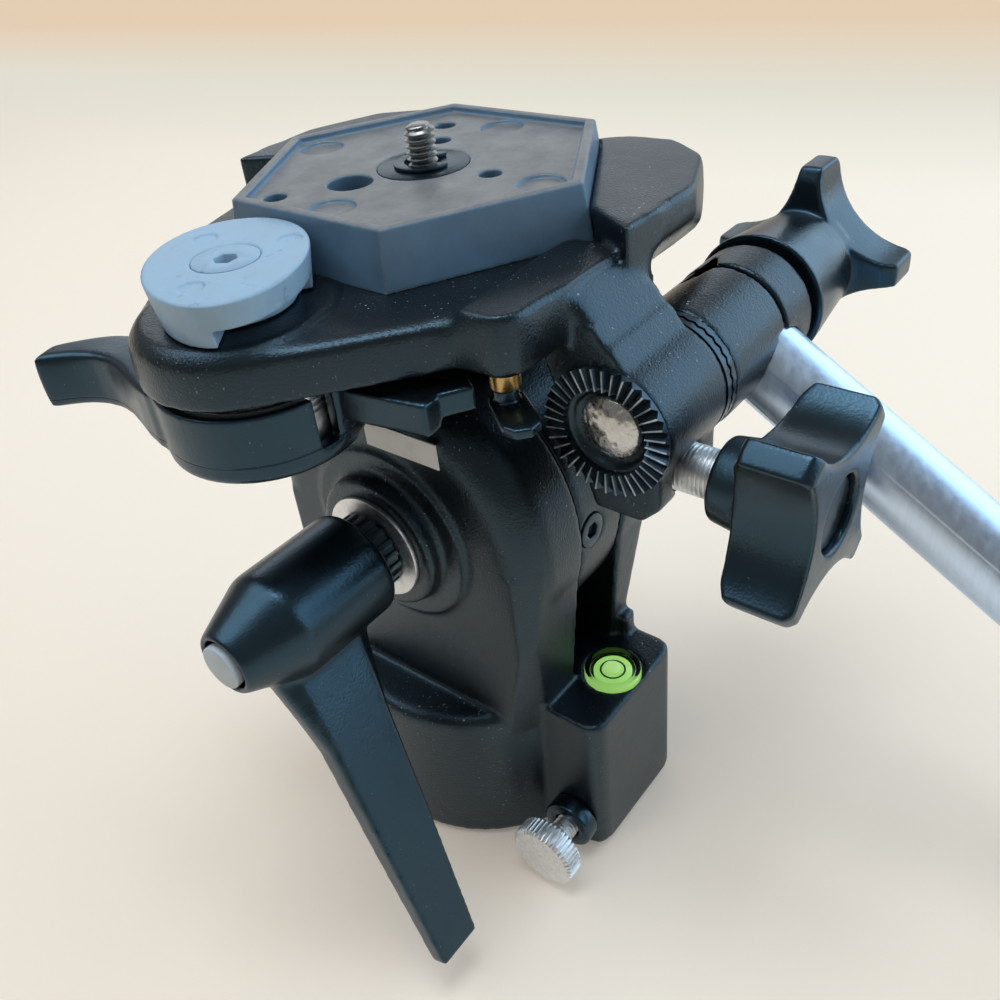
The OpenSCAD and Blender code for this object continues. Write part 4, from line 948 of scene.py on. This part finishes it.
class HEAD_OT_fasteners(Operator):
    """Make the washer, the pin, the stud, the springs, the far cover and the label"""

    bl_idname = "head.fasteners"
    bl_label = "Fasteners and springs"

    def execute(self, context):
        s = context.scene.head_sizes
        broken("lock_washer", "flange_washer", 0.3 * MM, finish="bright_steel")
        broken("catch_pin_finished", "catch_pin", 0.4 * MM)
        broken("drum_socket_screw", "drum_screw", 0.25 * MM)
        broken("far_cover", "side_cover", 0.8 * MM)
        broken("far_cover_screws", "cover_screws", 0.15 * MM)
        broken("blank_label", "label_plate", 0.06 * MM)
        low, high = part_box("drag_stud")
        centre, half = middle("drag_stud")
        stud = threaded(half.x, s.stud_pitch, -high.y, -low.y)
        place(stud, Matrix.Translation((centre.x, 0, centre.z)) @ TO_MINUS_Y)
        finished("drag_stud_finished", stud, "drag_stud", "bright_steel")
        low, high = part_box("catch_spring")
        centre, half = middle("catch_spring")
        wire = 0.3 * MM
        spring = coil(half.x - wire, wire, low.z, high.z, s.coil_turns)
        place(spring, Matrix.Translation((centre.x, centre.y, 0)))
        piece = finished("catch_coil", spring, "catch_spring")
        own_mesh(piece)
        low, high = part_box("lock_spring")
        centre, half = middle("lock_spring")
        spring = coil(half.y - wire, wire, low.x, high.x, s.coil_turns)
        place(spring, Matrix.Translation((0, centre.y, centre.z)) @ TO_X)
        piece = finished("lock_coil", spring, "lock_spring")
        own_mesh(piece)
        dress("tripod_plate", "thread_insert", "pan_spindle", "spindle_screws", "pan_bush",
              "pan_retainer", "retainer_screws", "near_bush", "far_bush", "pan_shoe", "tilt_shaft",
              "damper", "platform_screws", "qr_shaft", "lock_screw")
        return {"FINISHED"}


class HEAD_OT_handle(Operator):
    """Make the pan handle's tube, its grip and its end cap"""

    bl_idname = "head.handle"
    bl_label = "Pan handle"

    def execute(self, context):
        tube = copied("handle_tube")
        along, sunk = handle_direction(), 4 * MM
        start = min(v.co.dot(along) for v in tube.verts)
        for v in tube.verts:
            if v.co.dot(along) < start + 1 * MM:
                v.co += sunk * along
        finished("drawn_tube", tube, "handle_tube")
        broken("ribbed_grip", "handle_grip", 0.4 * MM, 3)
        broken("grip_end_cap", "grip_cap", 1.2 * MM, 4)
        return {"FINISHED"}


class HEAD_OT_stage(Operator):
    """Make the floor, the lamps and the camera"""

    bl_idname = "head.stage"
    bl_label = "Stage"

    def execute(self, context):
        scene = context.scene
        scene.view_settings.view_transform = "Standard"
        self.floor(tuple(scene.head_colours.floor))
        self.lamps(scene)
        self.camera(scene)
        return {"FINISHED"}

    def floor(self, colour):
        """Pale floor that runs into a warm backdrop away from the head."""
        bm = bmesh.new()
        bmesh.ops.create_grid(bm, x_segments=1, y_segments=1, size=9)
        mesh = as_mesh("floor", bm)
        floor = bpy.data.objects.new("floor", mesh)
        bpy.context.scene.collection.objects.link(floor)
        f = Finish("pale_floor", colour, 0.9)
        f.shader.inputs["Specular IOR Level"].default_value = 0.1
        cloth = f.mix(f.span(f.noise(1.2, 2), 0.3, 0.7), lighter(colour, 0.97), lighter(colour, 1.03))
        split = f.add("ShaderNodeSeparateXYZ")
        f.join(f.turned(rotation=(0, 0, math.radians(-13))), split.inputs["Vector"])
        f.colour(cloth)
        path = f.add("ShaderNodeLightPath").outputs
        mirrored = f.math("ADD", path["Is Glossy Ray"], path["Is Transmission Ray"])
        seen = f.span(f.math("ADD", path["Is Camera Ray"], mirrored), 0, 1)
        f.join(f.span(seen, 0, 1, 0.0, 0.16), f.shader.inputs["Emission Strength"])
        f.shader.inputs["Emission Color"].default_value = (1.0, 0.92, 0.82, 1)
        reach = f.add("ShaderNodeVectorMath", operation="LENGTH")
        f.join(f.object, reach.inputs[0])
        away = f.math("MAXIMUM", split.outputs["X"], f.span(reach.outputs["Value"], 0, 2.2, 0.18, 1.0))
        pale, warm = (0.76, 0.74, 0.65), (0.776, 0.617, 0.456)
        backdrop = f.add("ShaderNodeEmission")
        f.join(f.mix(f.span(away, 0.66, 0.92), pale, warm), backdrop.inputs["Color"])
        surface = f.add("ShaderNodeMixShader")
        f.join(f.math("MULTIPLY", f.span(away, 0.45, 0.66), seen), surface.inputs["Fac"])
        f.join(f.shader.outputs["BSDF"], surface.inputs[1])
        f.join(backdrop.outputs["Emission"], surface.inputs[2])
        f.join(surface.outputs["Shader"], f.tree.nodes["Material Output"].inputs["Surface"])
        mesh.materials.append(f.material)

    def lamps(self, scene):
        """Dim world, and lamps set by azimuth, height, size, power and colour around the head."""
        world = bpy.data.worlds.new("soft_room")
        world.use_nodes = True
        back = world.node_tree.nodes["Background"]
        back.inputs["Color"].default_value = (1.0, 0.97, 0.93, 1)
        back.inputs["Strength"].default_value = 0.22
        scene.world = world
        around, distance = Vector((0, 0, 0.1)), 1.3
        for name, azimuth, height, wide, tall, power, colour in (
                ("window", -40, 22, 2.0, 1.1, 15.0, (0.58, 0.81, 1.0)),
                ("skylight", 128, 62, 1.0, 1.0, 7.0, (0.80, 0.91, 1.0)),
                ("zenith", 0, 89, 0.5, 0.5, 5.5, (0.78, 0.90, 1.0)),
                ("wall", 40, 21, 1.4, 0.5, 2.4, (0.90, 0.95, 1.0))):
            lamp = bpy.data.lights.new(name, "AREA")
            lamp.shape = "RECTANGLE"
            lamp.size = wide
            lamp.size_y = tall
            lamp.energy = power
            lamp.color = colour
            light = bpy.data.objects.new(name, lamp)
            side, up = math.radians(azimuth), math.radians(height)
            outward = Vector((math.cos(up) * math.cos(side), math.cos(up) * math.sin(side), math.sin(up)))
            light.location = around + distance * outward
            light.rotation_euler = (-outward).to_track_quat("-Z", "Y").to_euler()
            scene.collection.objects.link(light)

    def camera(self, scene):
        """Camera at the photo's place, turned and rolled as the photo's was."""
        lens = bpy.data.cameras.new("photo_camera")
        lens.sensor_width = 36
        lens.lens = 36
        lens.clip_start = 0.01
        lens.clip_end = 20
        camera = bpy.data.objects.new("photo_camera", lens)
        look = Vector((0.60568, 0.53680, -0.58736)).normalized()
        level_right = look.cross(Vector((0, 0, 1))).normalized()
        level_up = level_right.cross(look)
        roll = math.radians(-6.71)
        right = math.cos(roll) * level_right + math.sin(roll) * level_up
        up = math.cos(roll) * level_up - math.sin(roll) * level_right
        turn = Matrix((right, up, -look)).transposed().to_4x4()
        camera.matrix_world = Matrix.Translation((-0.14085, -0.13656, 0.22250)) @ turn
        scene.collection.objects.link(camera)
        scene.camera = camera


class HEAD_PT_panel(Panel):
    """Lists the steps that dress the head"""

    bl_label = "Fluid Video Head"
    bl_idname = "HEAD_PT_panel"
    bl_space_type = "VIEW_3D"
    bl_region_type = "UI"
    bl_category = "Video Head"

    def draw(self, context):
        for group in (context.scene.head_sizes, context.scene.head_colours):
            for key in group.__annotations__:
                self.layout.prop(group, key)
        for operator in OPERATORS:
            self.layout.operator(operator.bl_idname)


OPERATORS = (
    HEAD_OT_castings, HEAD_OT_mouldings, HEAD_OT_plate, HEAD_OT_release, HEAD_OT_joint, HEAD_OT_thumbscrew,
    HEAD_OT_level, HEAD_OT_fasteners, HEAD_OT_handle, HEAD_OT_stage)
CLASSES = (HeadSizes, HeadColours) + OPERATORS + (HEAD_PT_panel,)


def register():
    for cls in CLASSES:
        bpy.utils.register_class(cls)
    bpy.types.Scene.head_sizes = PointerProperty(type=HeadSizes)
    bpy.types.Scene.head_colours = PointerProperty(type=HeadColours)


def unregister():
    del bpy.types.Scene.head_colours
    del bpy.types.Scene.head_sizes
    for cls in reversed(CLASSES):
        bpy.utils.unregister_class(cls)


def handle_direction():
    """Direction of the handle's tube, from the joint to the grip's end."""
    return (middle("grip_cap")[0] - middle("clamp_outer")[0]).normalized()


def main():
    register()
    build_finishes(bpy.context.scene.head_colours, handle_direction())
    bpy.ops.head.castings()
    bpy.ops.head.mouldings()
    bpy.ops.head.plate()
    bpy.ops.head.release()
    bpy.ops.head.joint()
    bpy.ops.head.thumbscrew()
    bpy.ops.head.level()
    bpy.ops.head.fasteners()
    bpy.ops.head.handle()
    bpy.ops.head.stage()


if __name__ == "__main__":
    main()
